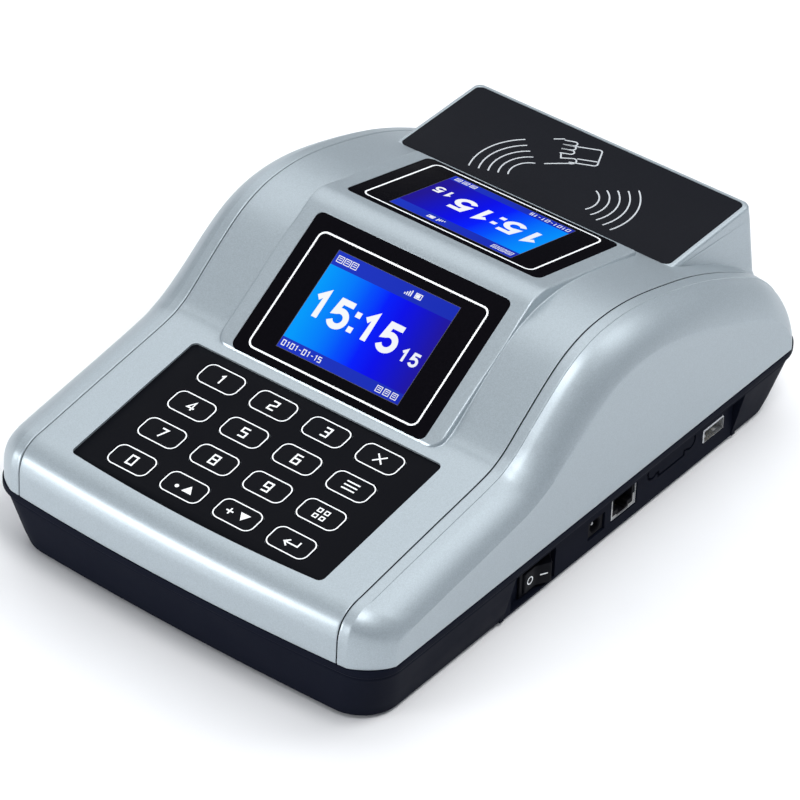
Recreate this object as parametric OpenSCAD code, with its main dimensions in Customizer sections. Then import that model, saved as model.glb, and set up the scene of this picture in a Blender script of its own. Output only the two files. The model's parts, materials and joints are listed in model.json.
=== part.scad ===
// Desktop contactless fare terminal: black base tray, silver centre cover between two side
// cheeks, sloped keypad, two displays on a raised pod and a card reading block at the rear.
// +X is the operator's right, -Y faces the operator, +Z is up; the origin is under the middle.

/* [Body] */
// Overall width at the rim of the base
body_w = 187; // [180:1:194]
// Height of the parting line between base and cover
parting_z = 30.4; // [29:0.1:31]
// Wall thickness of the plastic shells
wall = 2.2; // [1.8:0.1:2.6]
// Half the width of the centre cover, out to the seam
seam_x = 75.6; // [75:0.1:76]
// Width of the seam between the centre cover and a cheek
seam_gap = 0.4; // [0.3:0.1:0.6]

/* [Keypad] */
// Slope of the keypad, rising to the rear
key_tilt = 8.7; // [7:0.1:10]
// Distance between key centres across
key_pitch_x = 25.3; // [24:0.1:26]
// Distance between key centres along the slope
key_pitch_y = 17.4; // [16:0.1:18]
// Width of one key
key_w = 19.6; // [18:0.1:20]
// Length of one key along the slope
key_l = 11.5; // [10:0.1:12]
// Gap round a key
key_gap = 0.2; // [0.2:0.05:0.3]
// Travel of a key
key_travel = 0.5; // [0.3:0.05:0.6]

/* [Displays] */
// Slope of the operator's window, rising to the rear
front_tilt = 32.9; // [30:0.1:35]
// Slope of the passenger's window, falling to the rear
rear_tilt = 13.4; // [12:0.1:15]
// Width of both windows
window_w = 92.2; // [90:0.1:94]
// Length of the operator's window along its slope
front_window_l = 63.4; // [62:0.1:64]
// Length of the passenger's window along its slope
rear_window_l = 55; // [53:0.1:56]
// Thickness of the window glass
glass_t = 1.5; // [1:0.1:2]
// Half the width of the raised pod
pod_x = 53.3; // [52:0.1:54]

/* [Reader] */
// Width of the black reading panel
reader_w = 130; // [126:0.5:131]
// Length of the black reading panel
reader_l = 52; // [50:0.5:53]
// Slope of the reading panel, rising to the rear
reader_tilt = 1.4; // [0:0.1:2]

/* [Power switch] */
// Swing of the rocker from off to on, in degrees
rocker_swing = 27; // [20:1:28]
// Height of the rocker
rocker_h = 9.2; // [8:0.1:9.4]

/* [Hidden] */
KEYS = ["key_1", "key_2", "key_3", "key_cancel",
        "key_4", "key_5", "key_6", "key_menu",
        "key_7", "key_8", "key_9", "key_function",
        "key_0", "key_dot_up", "key_plus_down", "key_enter"];

$fn = 48;
far = 400;

// ---- heights and planes that the parts share ----
foot_h = 1.5;                // how far the feet lift the base
floor_z = foot_h + wall;     // top of the base floor
rim_z = 27;                  // bottom of the rim band
wall_top_z = 24.4;           // top of the drafted wall
base_x = 87;                 // half width of the base at its bottom edge
board_z = 5.3;               // underside of the main board
board_t = 1.6;
pcb_top = board_z + board_t;
key_c = [0, -90.65, 57.4];           // keypad centre on the cover surface
front_c = [0, -23.65, 82.7];         // front window centre
rear_c = [0, 45.26, 95.43];          // rear window centre
reader_c = [0, 103.5, 85.5];         // reading panel centre
lcd_dy = -1.4;                       // the operator's display sits a little below its window's centre

// port wall and the bay in front of it
bay_y0 = -50.7;
bay_y1 = 98.5;
port_x = base_x;             // outer face of the port wall
port_t = 2.2;
sw_c = [82, -28.3, 9.3];     // rocker axis
sw_face = 85.2;              // face of the switch bezel
pocket = [[-46, 2.8], [-18.3, 19.5]];    // recess for the switch, Y and Z
pocket_x = 84;
dc = [8, 11.2];              // port centres, Y and Z
rj = [26, 13.6];
usb = [85.4, 12.4];
serial = [57, 15.7];

// ---- side profile: [y, z] on the cover top and [y, z] on the shoulder line beside it ----
SIDE = [
    [-137.5, 22, -125.4, 22], [-137.4, 36, -124.9, 33], [-137, 43, -124, 37.2],
    [-134.6, 48.6, -121.8, 40.2], [-129, 52.2, -117.6, 42.1], [-119, 53.9, -110, 43.6],
    [-85, 59.2, -83, 47.4], [-53, 64.1, -50, 52.6], [-44, 66.9, -39, 55.8],
    [-38, 70.4, -31, 59.4], [-30, 76.6, -22, 64.6], [-16, 87, -10, 72.8],
    [-6, 93, 0, 78.6], [4, 96.6, 8, 81.6], [14, 98.1, 17, 83.3], [26, 98, 27, 83.5],
    [40, 95.9, 40, 81.6], [58, 91.2, 57, 76.8], [76, 85.4, 74, 70.4], [92, 78.6, 90, 64],
    [106, 71.5, 103, 57.8], [118, 64.6, 113, 52.4], [127, 57.2, 119.6, 47],
    [134, 48.6, 124.4, 41.4], [138.6, 38.4, 127, 35.6], [140.4, 30, 127.8, 30],
    [140.5, 22, 128.4, 22]];
crease = [80.4, 0.5];        // x and depth of the crease beside the seam
shoulder_x = 93.4;           // x of the shoulder line
arc_a = [25, 66];            // slope of the shoulder at the crease and at the shoulder line

// ---- small tools ----
function catmull(a, b, c, d, t) =
    0.5 * (2 * b + (c - a) * t + (2 * a - 5 * b + 4 * c - d) * t * t
        + (3 * b - a - 3 * c + d) * t * t * t);
function smooth(p, n) = let (m = len(p) - 1) concat(
    [for (i = [0:m - 1]) for (j = [0:n - 1])
        catmull(p[max(i - 1, 0)], p[i], p[i + 1], p[min(i + 2, m)], j / n)], [p[m]]);
function unit(v) = v / norm(v);
// A line of [y, z] points moved to its right by d, which is into the body
function inset(p, d) = let (m = len(p) - 1) [for (i = [0:m])
    let (t = unit(p[min(i + 1, m)] - p[max(i - 1, 0)])) p[i] + d * [t[1], -t[0]]];
function arc(c, r, a0, a1, n) = [for (i = [0:n]) c + r * [cos(a0 + (a1 - a0) * i / n),
                                                        sin(a0 + (a1 - a0) * i / n)]];
// Rounded rectangle, centred, with an optional bow on its front (-Y) side
function slab(w, l, r, bow = 0, n = 5) = concat(
    arc([w / 2 - r, l / 2 - r], r, 0, 90, n), arc([r - w / 2, l / 2 - r], r, 90, 180, n),
    arc([r - w / 2, r - l / 2], r, 180, 270, n),
    bow == 0 ? [] : [for (i = [1:9]) let (u = i / 5 - 1) [u * (w / 2 - r), -l / 2 - bow * (1 - u * u)]],
    arc([w / 2 - r, r - l / 2], r, 270, 360, n));
function ring(pts, z) = [for (p = pts) [p[0], p[1], z]];
// Closed solid through rings of equal length, each counterclockwise from above, lowest first
module loft(rings) {
    n = len(rings[0]);
    m = len(rings);
    polyhedron([for (r = rings) each r], concat(
        [[for (i = [0:n - 1]) i]],
        [for (k = [0:m - 2]) for (i = [0:n - 1]) let (a = k * n + i, b = k * n + (i + 1) % n)
            each [[a, a + n, b + n], [a, b + n, b]]],
        [[for (i = [n - 1:-1:0]) (m - 1) * n + i]]), convexity = 6);
}
// Places children on a sloped plane: their z = 0 is the surface
module on_plane(c, tilt) translate(c) rotate([tilt, 0, 0]) children();
module plate(w, l, r, z0, z1, bow = 0)
    translate([0, 0, z0]) linear_extrude(z1 - z0) polygon(slab(w, l, r, bow));
module box(x, y, z) translate([x[0], y[0], z[0]]) cube([x[1] - x[0], y[1] - y[0], z[1] - z[0]]);
module rod(x, y, z0, z1, d) translate([x, y, z0]) cylinder(h = z1 - z0, d = d);
module along_x(x0, y, z, l, d) translate([x0, y, z]) rotate([0, 90, 0]) cylinder(h = l, d = d);
module extrude_x(x0, x1, pts)
    translate([x0, 0, 0]) rotate([90, 0, 90]) linear_extrude(x1 - x0) polygon(pts);

// ---- side profile lines ----
LINE = smooth(SIDE, 3);
top_line = [for (p = LINE) [p[0], p[1]]];
low_line = [for (p = LINE) [p[2], p[3]]];
module above_parting(gap = 0) box([-far, far], [-far, far], [parting_z + gap, far]);

// The front of the cover bows forward in the middle, by this much at its lower edge
cover_bow = 2.8;
bow_end = 17;                // point of the side profile at which the bow has died out
function bow(x, y) = cover_bow * (1 - pow(x / seam_x, 2)) * min(1, max(0, (-98 - y) / 26));
// Solid under a line of [y, z] points, from -x1 to x1, with the bowed front
module across(x1, line) {
    n = 8;
    foot = [line[bow_end][0], line[0][1]];
    loft([for (i = [0:n]) let (x = x1 * (2 * i / n - 1)) concat([[x, foot[0], foot[1]]],
        [for (j = [bow_end:-1:0]) [x, line[j][0] - bow(x, line[j][0]), line[j][1]]])]);
    extrude_x(-x1, x1, concat([foot], [for (j = [bow_end:len(line) - 1]) line[j]]));
}

// ---- raised pod: two window planes joined by a rounded crest ----
function on_front(v, d = 0) = [front_c[1] + v * cos(front_tilt) - d * sin(front_tilt),
                               front_c[2] + v * sin(front_tilt) + d * cos(front_tilt)];
function on_rear(v, d = 0) = [rear_c[1] + v * cos(rear_tilt) + d * sin(rear_tilt),
                              rear_c[2] - v * sin(rear_tilt) + d * cos(rear_tilt)];
crest_r = 15;
crest = [9.27, 104];                     // where the two window planes meet
crest_in = crest_r * (1 / cos(front_tilt) - 1 / cos(rear_tilt)) / (tan(front_tilt) + tan(rear_tilt));
crest_c = crest + [crest_in, crest_in * tan(front_tilt) - crest_r / cos(front_tilt)];
POD = concat([on_front(-33.5, -1.5), on_front(-32, 0)],
    arc(crest_c, crest_r, 90 + front_tilt, 90 - rear_tilt, 6), [on_rear(rear_window_l / 2 + 0.6)]);
pod_y1 = POD[len(POD) - 1][0];

// ---- reading block ----
block_top = [134.4, 57, 4];              // width, length and corner radius at the top
block_foot = [143, 61, 6];               // the same at its foot
block_foot_z = 52;
function block_ring(s, grow, z) = [for (p = slab(s[0] + 2 * grow, s[1] + 2 * grow, s[2] + grow))
    [p[0], p[1] + reader_c[1], z + (z > 70 ? p[1] * tan(reader_tilt) : 0)]];

// ---- base outline at its bottom edge, wall top and rim: half width, front, rear, radius, bow ----
EDGE = [base_x, -131.2, 132.9, 17, 1.6];
WALL_TOP = [92.2, -135.6, 139, 16, 2.6];
RIM = [body_w / 2, -137, 140.4, 16, 3.4];
function outline(s, grow, z) = ring([for (p = slab(2 * (s[0] + grow), s[2] - s[1] + 2 * grow,
    s[3] + grow, s[4])) [p[0], p[1] + (s[1] + s[2]) / 2]], z);

// ---- fasteners and feet ----
COVER_SCREWS = [[-58, -119], [58, -119], [-58, 112], [58, 112]];
CHEEK_SCREWS = [[-82, -98], [82, -98], [-82, 110], [82, 110]];
FEET = [[-68, -108], [68, -108], [-68, 124], [68, 124]];
BOARD_SCREWS = [[-36, -38], [66, -48], [-36, 92], [66, 98]];
boss_d = 7.5;
screw_d = 2.9;

// =====================================================================================
// Shells
// =====================================================================================
module base_shell() color([0.07, 0.07, 0.09]) difference() {
    union() {
        difference() {
            loft([outline(EDGE, 0, foot_h), outline(WALL_TOP, 0, wall_top_z),
                  outline(WALL_TOP, 0, rim_z - 1.4), outline(RIM, 0, rim_z),
                  outline(RIM, 0, parting_z - 0.3)]);
            loft([outline(EDGE, -wall, floor_z), outline(WALL_TOP, -wall, wall_top_z),
                  outline(WALL_TOP, -wall, parting_z + 1)]);
        }
        // Walls of the port bay
        box([port_x - port_t, port_x], [bay_y0 - wall, bay_y1 + wall], [foot_h, rim_z - 0.6]);
        box([port_x - port_t, 91.4], [bay_y0 - wall, bay_y1 + wall], [wall_top_z, rim_z - 0.6]);
        for (y = [bay_y0, bay_y1 + wall]) translate([0, y, 0]) rotate([90, 0, 0]) linear_extrude(wall)
            polygon([[port_x - port_t, foot_h], [base_x - 1, foot_h], [WALL_TOP[0] - 1, wall_top_z],
                     [WALL_TOP[0] - 1, rim_z - 0.6], [port_x - port_t, rim_z - 0.6]]);
        box([pocket_x - wall, port_x], [pocket[0][0] - wall, pocket[1][0] + wall],
            [foot_h, pocket[1][1] + wall]);
        // Screw posts and board posts
        for (p = concat(COVER_SCREWS, CHEEK_SCREWS)) rod(p[0], p[1], foot_h, parting_z - 0.3, boss_d);
        for (p = BOARD_SCREWS) rod(p[0], p[1], foot_h + 0.5, board_z, 6);
    }
    // Bay, cut through the drafted wall outside the port wall
    box([port_x, far], [bay_y0, bay_y1], [-1, wall_top_z]);
    // Switch recess and its opening
    box([pocket_x, far], [pocket[0][0], pocket[1][0]], [pocket[0][1], pocket[1][1]]);
    box([pocket_x - 5, far], [sw_c[1] - body_l - 0.15, sw_c[1] + body_l + 0.15],
        [sw_c[2] - 5.6, sw_c[2] + 5.6]);
    // Port openings
    box([80, far], [dc[0] - 5.4, dc[0] + 5.4], [pcb_top - 0.2, dc[1] + 3.8]);
    box([80, far], [rj[0] - 8.4, rj[0] + 8.4], [pcb_top - 0.2, rj[1] + 6.5]);
    box([80, far], [usb[0] - 7.2, usb[0] + 7.2], [usb[1] - 3.4, usb[1] + 3.4]);
    // Groove round the unused serial port's knock-out
    translate([port_x - 0.6, serial[0], serial[1]]) rotate([90, 0, 90]) linear_extrude(2) difference() {
        knockout(0.35);
        knockout(-0.35);
    }
    // Screw holes with head recesses
    for (p = concat(COVER_SCREWS, CHEEK_SCREWS)) {
        rod(p[0], p[1], 0, 40, 3.4);
        rod(p[0], p[1], 0, foot_h + 3, 6.6);
    }
    for (p = BOARD_SCREWS) rod(p[0], p[1], floor_z - 1.2, board_z + 1, 2.2);
    for (p = FEET) rod(p[0], p[1], 0, foot_h + 1.1, 12.2);
}

// Outline of a nine-pin serial socket with its two screw ears, grown by g
module knockout(g) {
    polygon([[-9.8 - g, 4.5 + g], [-8.6 - g, -4.5 - g], [8.6 + g, -4.5 - g], [9.8 + g, 4.5 + g]]);
    square([25, 5 + 2 * g], center = true);
    for (x = [-12.5, 12.5]) translate([x, 0]) circle(r = 3.4 + g);
}

module centre_cover() color([0.74, 0.78, 0.80]) difference() {
    union() {
        intersection() {
            difference() {
                across(seam_x, top_line);
                across(seam_x - wall, inset(top_line, wall));
                extrude_x(-far, far, inset(top_line, 9));
            }
            above_parting();
        }
        // Pod and reading block standing on the cover
        difference() {
            union() {
                extrude_x(-pod_x, pod_x, concat(POD, [[pod_y1, 60], [-30, 60]]));
                loft([block_ring(block_foot, 0, block_foot_z), block_ring(block_top, 0, reader_c[2] + 0.1)]);
            }
            extrude_x(-pod_x + wall, pod_x - wall, concat(
                [for (p = POD) [min(p[0], pod_y1 - wall), p[1] - 4.2]], [[pod_y1 - wall, 40], [-30, 40]]));
            loft([block_ring(block_foot, -wall, block_foot_z - 1),
                  block_ring(block_top, -wall, reader_c[2] - 3.6)]);
            extrude_x(-far, far, inset(top_line, wall));
        }
        intersection() {
            for (p = COVER_SCREWS) rod(p[0], p[1], parting_z, 120, boss_d);
            extrude_x(-seam_x, seam_x, inset(top_line, 1));
        }
        // Bed under the keypad, with posts for its board
        on_plane(key_c, key_tilt) {
            plate(126, 78, 5, -3, -0.9);
            for (p = KEYPAD_SCREWS) rod(p[0], p[1], -3.6, -0.9, 5);
        }
    }
    cover_openings();
    for (p = COVER_SCREWS) rod(p[0], p[1], 0, parting_z + 12, 2.6);
    on_plane(key_c, key_tilt) for (p = KEYPAD_SCREWS) rod(p[0], p[1], -9, -1.6, 2.4);
}
// Recesses and through openings for the keypad, windows and reading panel
module cover_openings() {
    on_plane(key_c, key_tilt) {
        plate(123, 76.4, 4.5, -1, 5, 2.5);
        for (k = [0:15]) translate(key_xy(k)) plate(8, 8, 2, -9, 5);
    }
    on_plane(front_c, front_tilt) {
        plate(window_w + 0.2, front_window_l + 0.2, 3, -glass_t - 0.1, 12);
        translate([0, lcd_dy, 0]) plate(71.4, 52, 1, -30, 12);
    }
    on_plane(rear_c, -rear_tilt) {
        plate(window_w + 0.2, rear_window_l + 0.2, 3, -glass_t - 0.1, 12);
        plate(71.4, 46.4, 1, -30, 12);
    }
    on_plane(reader_c, reader_tilt) plate(reader_w + 0.2, reader_l + 0.2, 3, -glass_t - 0.1, 8);
    // Way from the body up into the block
    box([-60, 60], [82, 104], [40, 83]);
}

// Ring of a cheek at one station: seam, crease, shoulder arc, wall, and back along the bottom
function shoulder(a) = let (s0 = sin(arc_a[0]), s1 = sin(arc_a[1]), c0 = cos(arc_a[0]),
    c1 = cos(arc_a[1])) [(sin(a) - s0) / (s1 - s0), (c0 - cos(a)) / (c0 - c1)];
function cheek_ring(t, u, x0, x1, low) = concat([[x0, t[0], t[1]]],
    [for (i = [0:5]) let (s = shoulder(arc_a[0] + (arc_a[1] - arc_a[0]) * i / 5),
        q = t + (u - t) * (0.035 + 0.965 * s[1])) [crease[0] + (x1 - crease[0]) * s[0], q[0], q[1]]],
    [[x1 + 0.1, u[0], low], [x0, u[0], low]]);
module cheek() difference() {
    intersection() {
        union() {
            difference() {
                loft([for (i = [0:len(LINE) - 1])
                    cheek_ring(top_line[i], low_line[i], seam_x + seam_gap, shoulder_x, 16)]);
                loft(let (t = inset(top_line, wall), u = inset(low_line, wall))
                    [for (i = [0:len(LINE) - 1])
                    cheek_ring(t[i], u[i], seam_x + seam_gap + wall, shoulder_x - wall, 12)]);
            }
            // Screw posts, each tied to the inner wall by a rib
            for (p = CHEEK_SCREWS) if (p[0] > 0) {
                rod(p[0], p[1], parting_z, parting_z + 15, boss_d);
                box([seam_x + 1.5, p[0]], [p[1] - 1.2, p[1] + 1.2], [parting_z, parting_z + 15]);
            }
        }
        above_parting();
    }
    for (p = CHEEK_SCREWS) rod(p[0], p[1], 0, parting_z + 12, 2.6);
}
module right_cheek() color([0.72, 0.76, 0.78]) cheek();
module left_cheek() color([0.72, 0.76, 0.78]) mirror([1, 0, 0]) cheek();

// =====================================================================================
// Keypad
// =====================================================================================
dome_top = -3.25;
function key_xy(k) = [((k % 4) - 1.5) * key_pitch_x - 0.3, (1.5 - floor(k / 4)) * key_pitch_y + 0.2, 0];
KEYPAD_SCREWS = [for (x = [-48, 48]) for (y = [-31, 31]) [x, y]];
module keypad_overlay() color([0.05, 0.05, 0.06]) on_plane(key_c, key_tilt) difference() {
    plate(122.6, 76, 4.3, -1, 0, 2.5);
    for (k = [0:15]) translate(key_xy(k)) plate(key_w + 2 * key_gap, key_l + 2 * key_gap, 4, -2, 1);
}
module key(k) color([0.08, 0.08, 0.09]) on_plane(key_c, key_tilt) translate(key_xy(k)) {
    plate(key_w, key_l, 3.8, -0.45, 0);
    rod(0, 0, dome_top + key_travel + 0.35, -0.4, 5);
}
module keypad_board() color([0.05, 0.3, 0.15]) on_plane(key_c, key_tilt) difference() {
    plate(104, 70, 2, -5, -3.6);
    for (p = KEYPAD_SCREWS) rod(p[0], p[1], -6, -3, 2.4);
}
module key_domes() color([0.75, 0.75, 0.77]) on_plane(key_c, key_tilt)
    for (k = [0:15]) translate(key_xy(k)) {
        rod(0, 0, -3.6, -3.4, 6);
        rod(0, 0, -3.4, dome_top, 3.6);
    }
module keypad_screws() color([0.7, 0.7, 0.72]) on_plane(key_c, key_tilt) for (p = KEYPAD_SCREWS) {
    rod(p[0], p[1], -6.2, -5, 4);
    rod(p[0], p[1], -5, -1.9, 2.3);
}

// =====================================================================================
// Windows, displays and reader
// =====================================================================================
module front_window() color([0.04, 0.04, 0.05]) on_plane(front_c, front_tilt)
    plate(window_w, front_window_l, 2.9, -glass_t, 0);
module rear_window() color([0.04, 0.04, 0.05]) on_plane(rear_c, -rear_tilt)
    plate(window_w, rear_window_l, 2.9, -glass_t, 0);
module display(l) plate(69.4, l, 0.8, -glass_t - 3.6, -glass_t - 0.2);
module front_display() color([0.1, 0.25, 0.9]) on_plane(front_c, front_tilt)
    translate([0, lcd_dy, 0]) display(50);
module rear_display() color([0.1, 0.25, 0.9]) on_plane(rear_c, -rear_tilt) display(45);
DISPLAY_SCREWS = [for (x = [-42.5, 42.5]) for (y = [-18, 18]) [x, y]];
module display_board(l) difference() {
    plate(92, l, 2, -glass_t - 5.4, -glass_t - 3.8);
    for (p = DISPLAY_SCREWS) rod(p[0], p[1], -9, -4, 2.4);
}
module front_display_board() color([0.05, 0.3, 0.15]) on_plane(front_c, front_tilt)
    translate([0, lcd_dy, 0]) display_board(48);
module rear_display_board() color([0.05, 0.3, 0.15]) on_plane(rear_c, -rear_tilt) display_board(44);
module four_display_screws() for (p = DISPLAY_SCREWS) {
    rod(p[0], p[1], -glass_t - 6.6, -glass_t - 5.4, 4);
    rod(p[0], p[1], -glass_t - 5.4, -glass_t - 3.4, 2.2);
}
module display_screws() color([0.7, 0.7, 0.72]) {
    on_plane(front_c, front_tilt) translate([0, lcd_dy, 0]) four_display_screws();
    on_plane(rear_c, -rear_tilt) four_display_screws();
}
module reader_panel() color([0.09, 0.09, 0.10]) on_plane(reader_c, reader_tilt)
    plate(reader_w, reader_l, 2.9, -glass_t, 0);
READER_SCREWS = [for (x = [-54, 54]) for (y = [-17, 17]) [x, y]];
module reader_board() color([0.05, 0.3, 0.15]) on_plane(reader_c, reader_tilt) difference() {
    plate(116, 42, 2, -7.2, -5.6);
    for (p = READER_SCREWS) rod(p[0], p[1], -9, -4, 2.4);
}
module reader_antenna() color([0.8, 0.5, 0.25]) on_plane(reader_c, reader_tilt)
    for (i = [0:3]) difference() {
        plate(98 - 4 * i, 38 - 4 * i, 3, -5.6, -5.4);
        plate(96 - 4 * i, 36 - 4 * i, 2.4, -6, -5);
    }
module reader_screws() color([0.7, 0.7, 0.72]) on_plane(reader_c, reader_tilt)
    for (p = READER_SCREWS) {
        rod(p[0], p[1], -8.4, -7.2, 4);
        rod(p[0], p[1], -7.2, -5.2, 2.2);
    }

// =====================================================================================
// Main board and ports
// =====================================================================================
module main_board() color([0.05, 0.3, 0.15]) difference() {
    box([-44, 74], [-52, 104], [board_z, pcb_top]);
    for (p = BOARD_SCREWS) rod(p[0], p[1], 0, 20, 3);
    box([58, 80], [-44, -16], [0, 20]);
}
module board_chips() color([0.06, 0.06, 0.07]) {
    box([-8, 12], [10, 30], [pcb_top, pcb_top + 1.6]);
    box([26, 38], [4, 12], [pcb_top, pcb_top + 1.4]);
    box([-30, -18], [40, 58], [pcb_top, pcb_top + 1.4]);
    box([22, 34], [60, 68], [pcb_top, pcb_top + 1.4]);
    for (y = [-30, -20]) rod(20, y, pcb_top, pcb_top + 9, 6.3);
}
module board_screws() color([0.7, 0.7, 0.72]) for (p = BOARD_SCREWS) {
    rod(p[0], p[1], pcb_top, pcb_top + 1.6, 5);
    rod(p[0], p[1], floor_z - 0.6, pcb_top, 2.1);
}
module dc_jack() color([0.03, 0.03, 0.03]) {
    difference() {
        box([73, port_x - 0.8], [dc[0] - 5.2, dc[0] + 5.2], [pcb_top + 0.05, dc[1] + 3.6]);
        along_x(76, dc[0], dc[1], 20, 6);
    }
    along_x(74, dc[0], dc[1], 11, 2);
}
module rj45_jack() color([0.75, 0.76, 0.78]) difference() {
    box([65.4, port_x - 0.3], [rj[0] - 8, rj[0] + 8], [pcb_top + 0.05, rj[1] + 6.1]);
    box([68, 90], [rj[0] - 5.9, rj[0] + 5.9], [rj[1] - 3.4, rj[1] + 3.6]);
    box([72, 90], [rj[0] - 3.1, rj[0] + 3.1], [rj[1] - 5.2, rj[1]]);
}
module usb_socket() color([0.8, 0.8, 0.82]) {
    difference() {
        box([73, port_x + 0.2], [usb[0] - 6.9, usb[0] + 6.9], [usb[1] - 3.1, usb[1] + 3.1]);
        box([75, 90], [usb[0] - 6.3, usb[0] + 6.3], [usb[1] - 2.6, usb[1] + 2.6]);
    }
    box([74, port_x - 1], [usb[0] - 5.6, usb[0] + 5.6], [usb[1] + 0.5, usb[1] + 2.4]);
    for (s = [-5, 5]) box([74, 78], [usb[0] + s - 0.6, usb[0] + s + 0.6], [pcb_top + 0.05, usb[1] - 3]);
}

// Rocker: two flat halves meeting in a shallow V, with ends that follow an arc about its axis
half_l = 6.7;                // length of one half
v_x = 4.1;                   // distance of the V from the axis
tip = [v_x + half_l * sin(rocker_swing / 2), half_l * cos(rocker_swing / 2)];
end_r = norm(tip);
pin_r = 1.1;
body_l = end_r + 0.6;        // half length of the switch body
module power_rocker() color([0.04, 0.04, 0.04]) translate(sw_c) rotate([0, 0, -rocker_swing / 2]) {
    translate([0, 0, -rocker_h / 2]) linear_extrude(rocker_h) polygon(concat(
        [[v_x, 0]], arc([0, 0], end_r, atan2(tip[1], tip[0]), 84, 6), [[-1, 5.6], [-3, 4.4]],
        [[-3, -4.4], [-1, -5.6]], arc([0, 0], end_r, -84, -atan2(tip[1], tip[0]), 6)));
    translate([0, 0, -rocker_h / 2 - 0.9]) cylinder(h = rocker_h + 1.8, r = pin_r);
}
module switch_housing() color([0.05, 0.05, 0.05]) translate(sw_c) difference() {
    union() {
        box([pocket_x + 0.05 - sw_c[0], sw_face - sw_c[0]], [-10, 9.95], [-6.4, 6.4]);
        box([-14, pocket_x - sw_c[0] + 1], [-body_l, body_l], [-5.4, 5.4]);
    }
    translate([0, 0, -rocker_h / 2 - 0.25]) cylinder(h = rocker_h + 0.5, r = end_r + 0.2);
    translate([0, 0, -5.6]) cylinder(h = 11.2, r = pin_r + 0.05);
    for (y = [-4, 4]) box([-15, -8], [y - 0.45, y + 0.45], [-2.45, 2.45]);
}
module switch_terminals() color([0.8, 0.7, 0.4]) for (y = [-4, 4])
    translate(sw_c) box([-20, -9.4], [y - 0.4, y + 0.4], [-2.4, 2.4]);

// =====================================================================================
// Other inner parts
// =====================================================================================
module buzzer() color([0.04, 0.04, 0.04]) difference() {
    rod(-24, 82, pcb_top, pcb_top + 9.5, 12);
    rod(-24, 82, pcb_top + 8, pcb_top + 10, 2.4);
}
module battery_holder() color([0.06, 0.06, 0.06]) difference() {
    rod(-18, -20, pcb_top, pcb_top + 4.6, 24);
    rod(-18, -20, pcb_top + 1, pcb_top + 5, 20.6);
    box([-32, -26], [-25, -15], [pcb_top + 1, pcb_top + 5]);
}
module clock_battery() color([0.8, 0.8, 0.82]) rod(-18, -20, pcb_top + 1, pcb_top + 4.2, 20);
// A flat cable as a bent strip: an outline of [y, z] points with a thickness
module strip(x0, x1, line, t = 0.3)
    let (under = inset(line, t))
        extrude_x(x0, x1, concat(line, [for (i = [len(line) - 1:-1:0]) under[i]]));
module keypad_ribbon() color([0.85, 0.8, 0.6])
    strip(-9, 9, [[-66, 56], [-58, 40], [-56, 16], [-46, pcb_top + 0.5], [-40, pcb_top + 0.5]], 0.4);
module front_ribbon() color([0.85, 0.8, 0.6])
    strip(-26, -12, [[-25, 73.4], [-12, 40], [-6, 14], [0, pcb_top + 0.5], [6, pcb_top + 0.5]], 0.4);
module rear_ribbon() color([0.85, 0.8, 0.6])
    strip(16, 30, [[44, 88.4], [40, 40], [40, 14], [46, pcb_top + 0.5], [52, pcb_top + 0.5]], 0.4);
module reader_cable() color([0.15, 0.15, 0.16])
    strip(-6, 2, [[96, 77.9], [92, 50], [88, 16], [80, pcb_top + 1], [74, pcb_top + 1]], 1);
module ribbon_sockets() color([0.9, 0.88, 0.8]) {
    box([-11, 11], [-39.9, -35], [pcb_top, pcb_top + 2.4]);
    box([-28, -10], [6.1, 9.9], [pcb_top, pcb_top + 2.4]);
    box([14, 32], [52.1, 57], [pcb_top, pcb_top + 2.4]);
    box([-7.5, 3.5], [69, 73.9], [pcb_top, pcb_top + 4.6]);
}
module rubber_feet() color([0.1, 0.1, 0.1]) for (p = FEET) rod(p[0], p[1], 0, foot_h + 1.05, 12);
module base_screws() color([0.7, 0.7, 0.72]) for (p = concat(COVER_SCREWS, CHEEK_SCREWS)) {
    rod(p[0], p[1], foot_h + 1, foot_h + 3, 5.6);
    rod(p[0], p[1], foot_h + 3, parting_z + 10, 2.5);
}

base_shell();
centre_cover();
left_cheek();
right_cheek();
keypad_overlay();
keypad_board();
key_domes();
front_window();
rear_window();
front_display();
rear_display();
front_display_board();
rear_display_board();
reader_panel();
reader_board();
reader_antenna();
main_board();
board_chips();
dc_jack();
rj45_jack();
usb_socket();
switch_housing();
switch_terminals();
power_rocker();
buzzer();
battery_holder();
clock_battery();
keypad_ribbon();
front_ribbon();
rear_ribbon();
reader_cable();
ribbon_sockets();
rubber_feet();
base_screws();
board_screws();
keypad_screws();
display_screws();
reader_screws();
for (k = [0:15]) key(k);
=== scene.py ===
"""Looks of a desktop contactless fare terminal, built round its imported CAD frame. Sizes in mm."""

import json
import math

import bmesh
import bpy
import numpy as np
from mathutils import Matrix, Quaternion, Vector
from mathutils.geometry import tessellate_polygon


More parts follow.
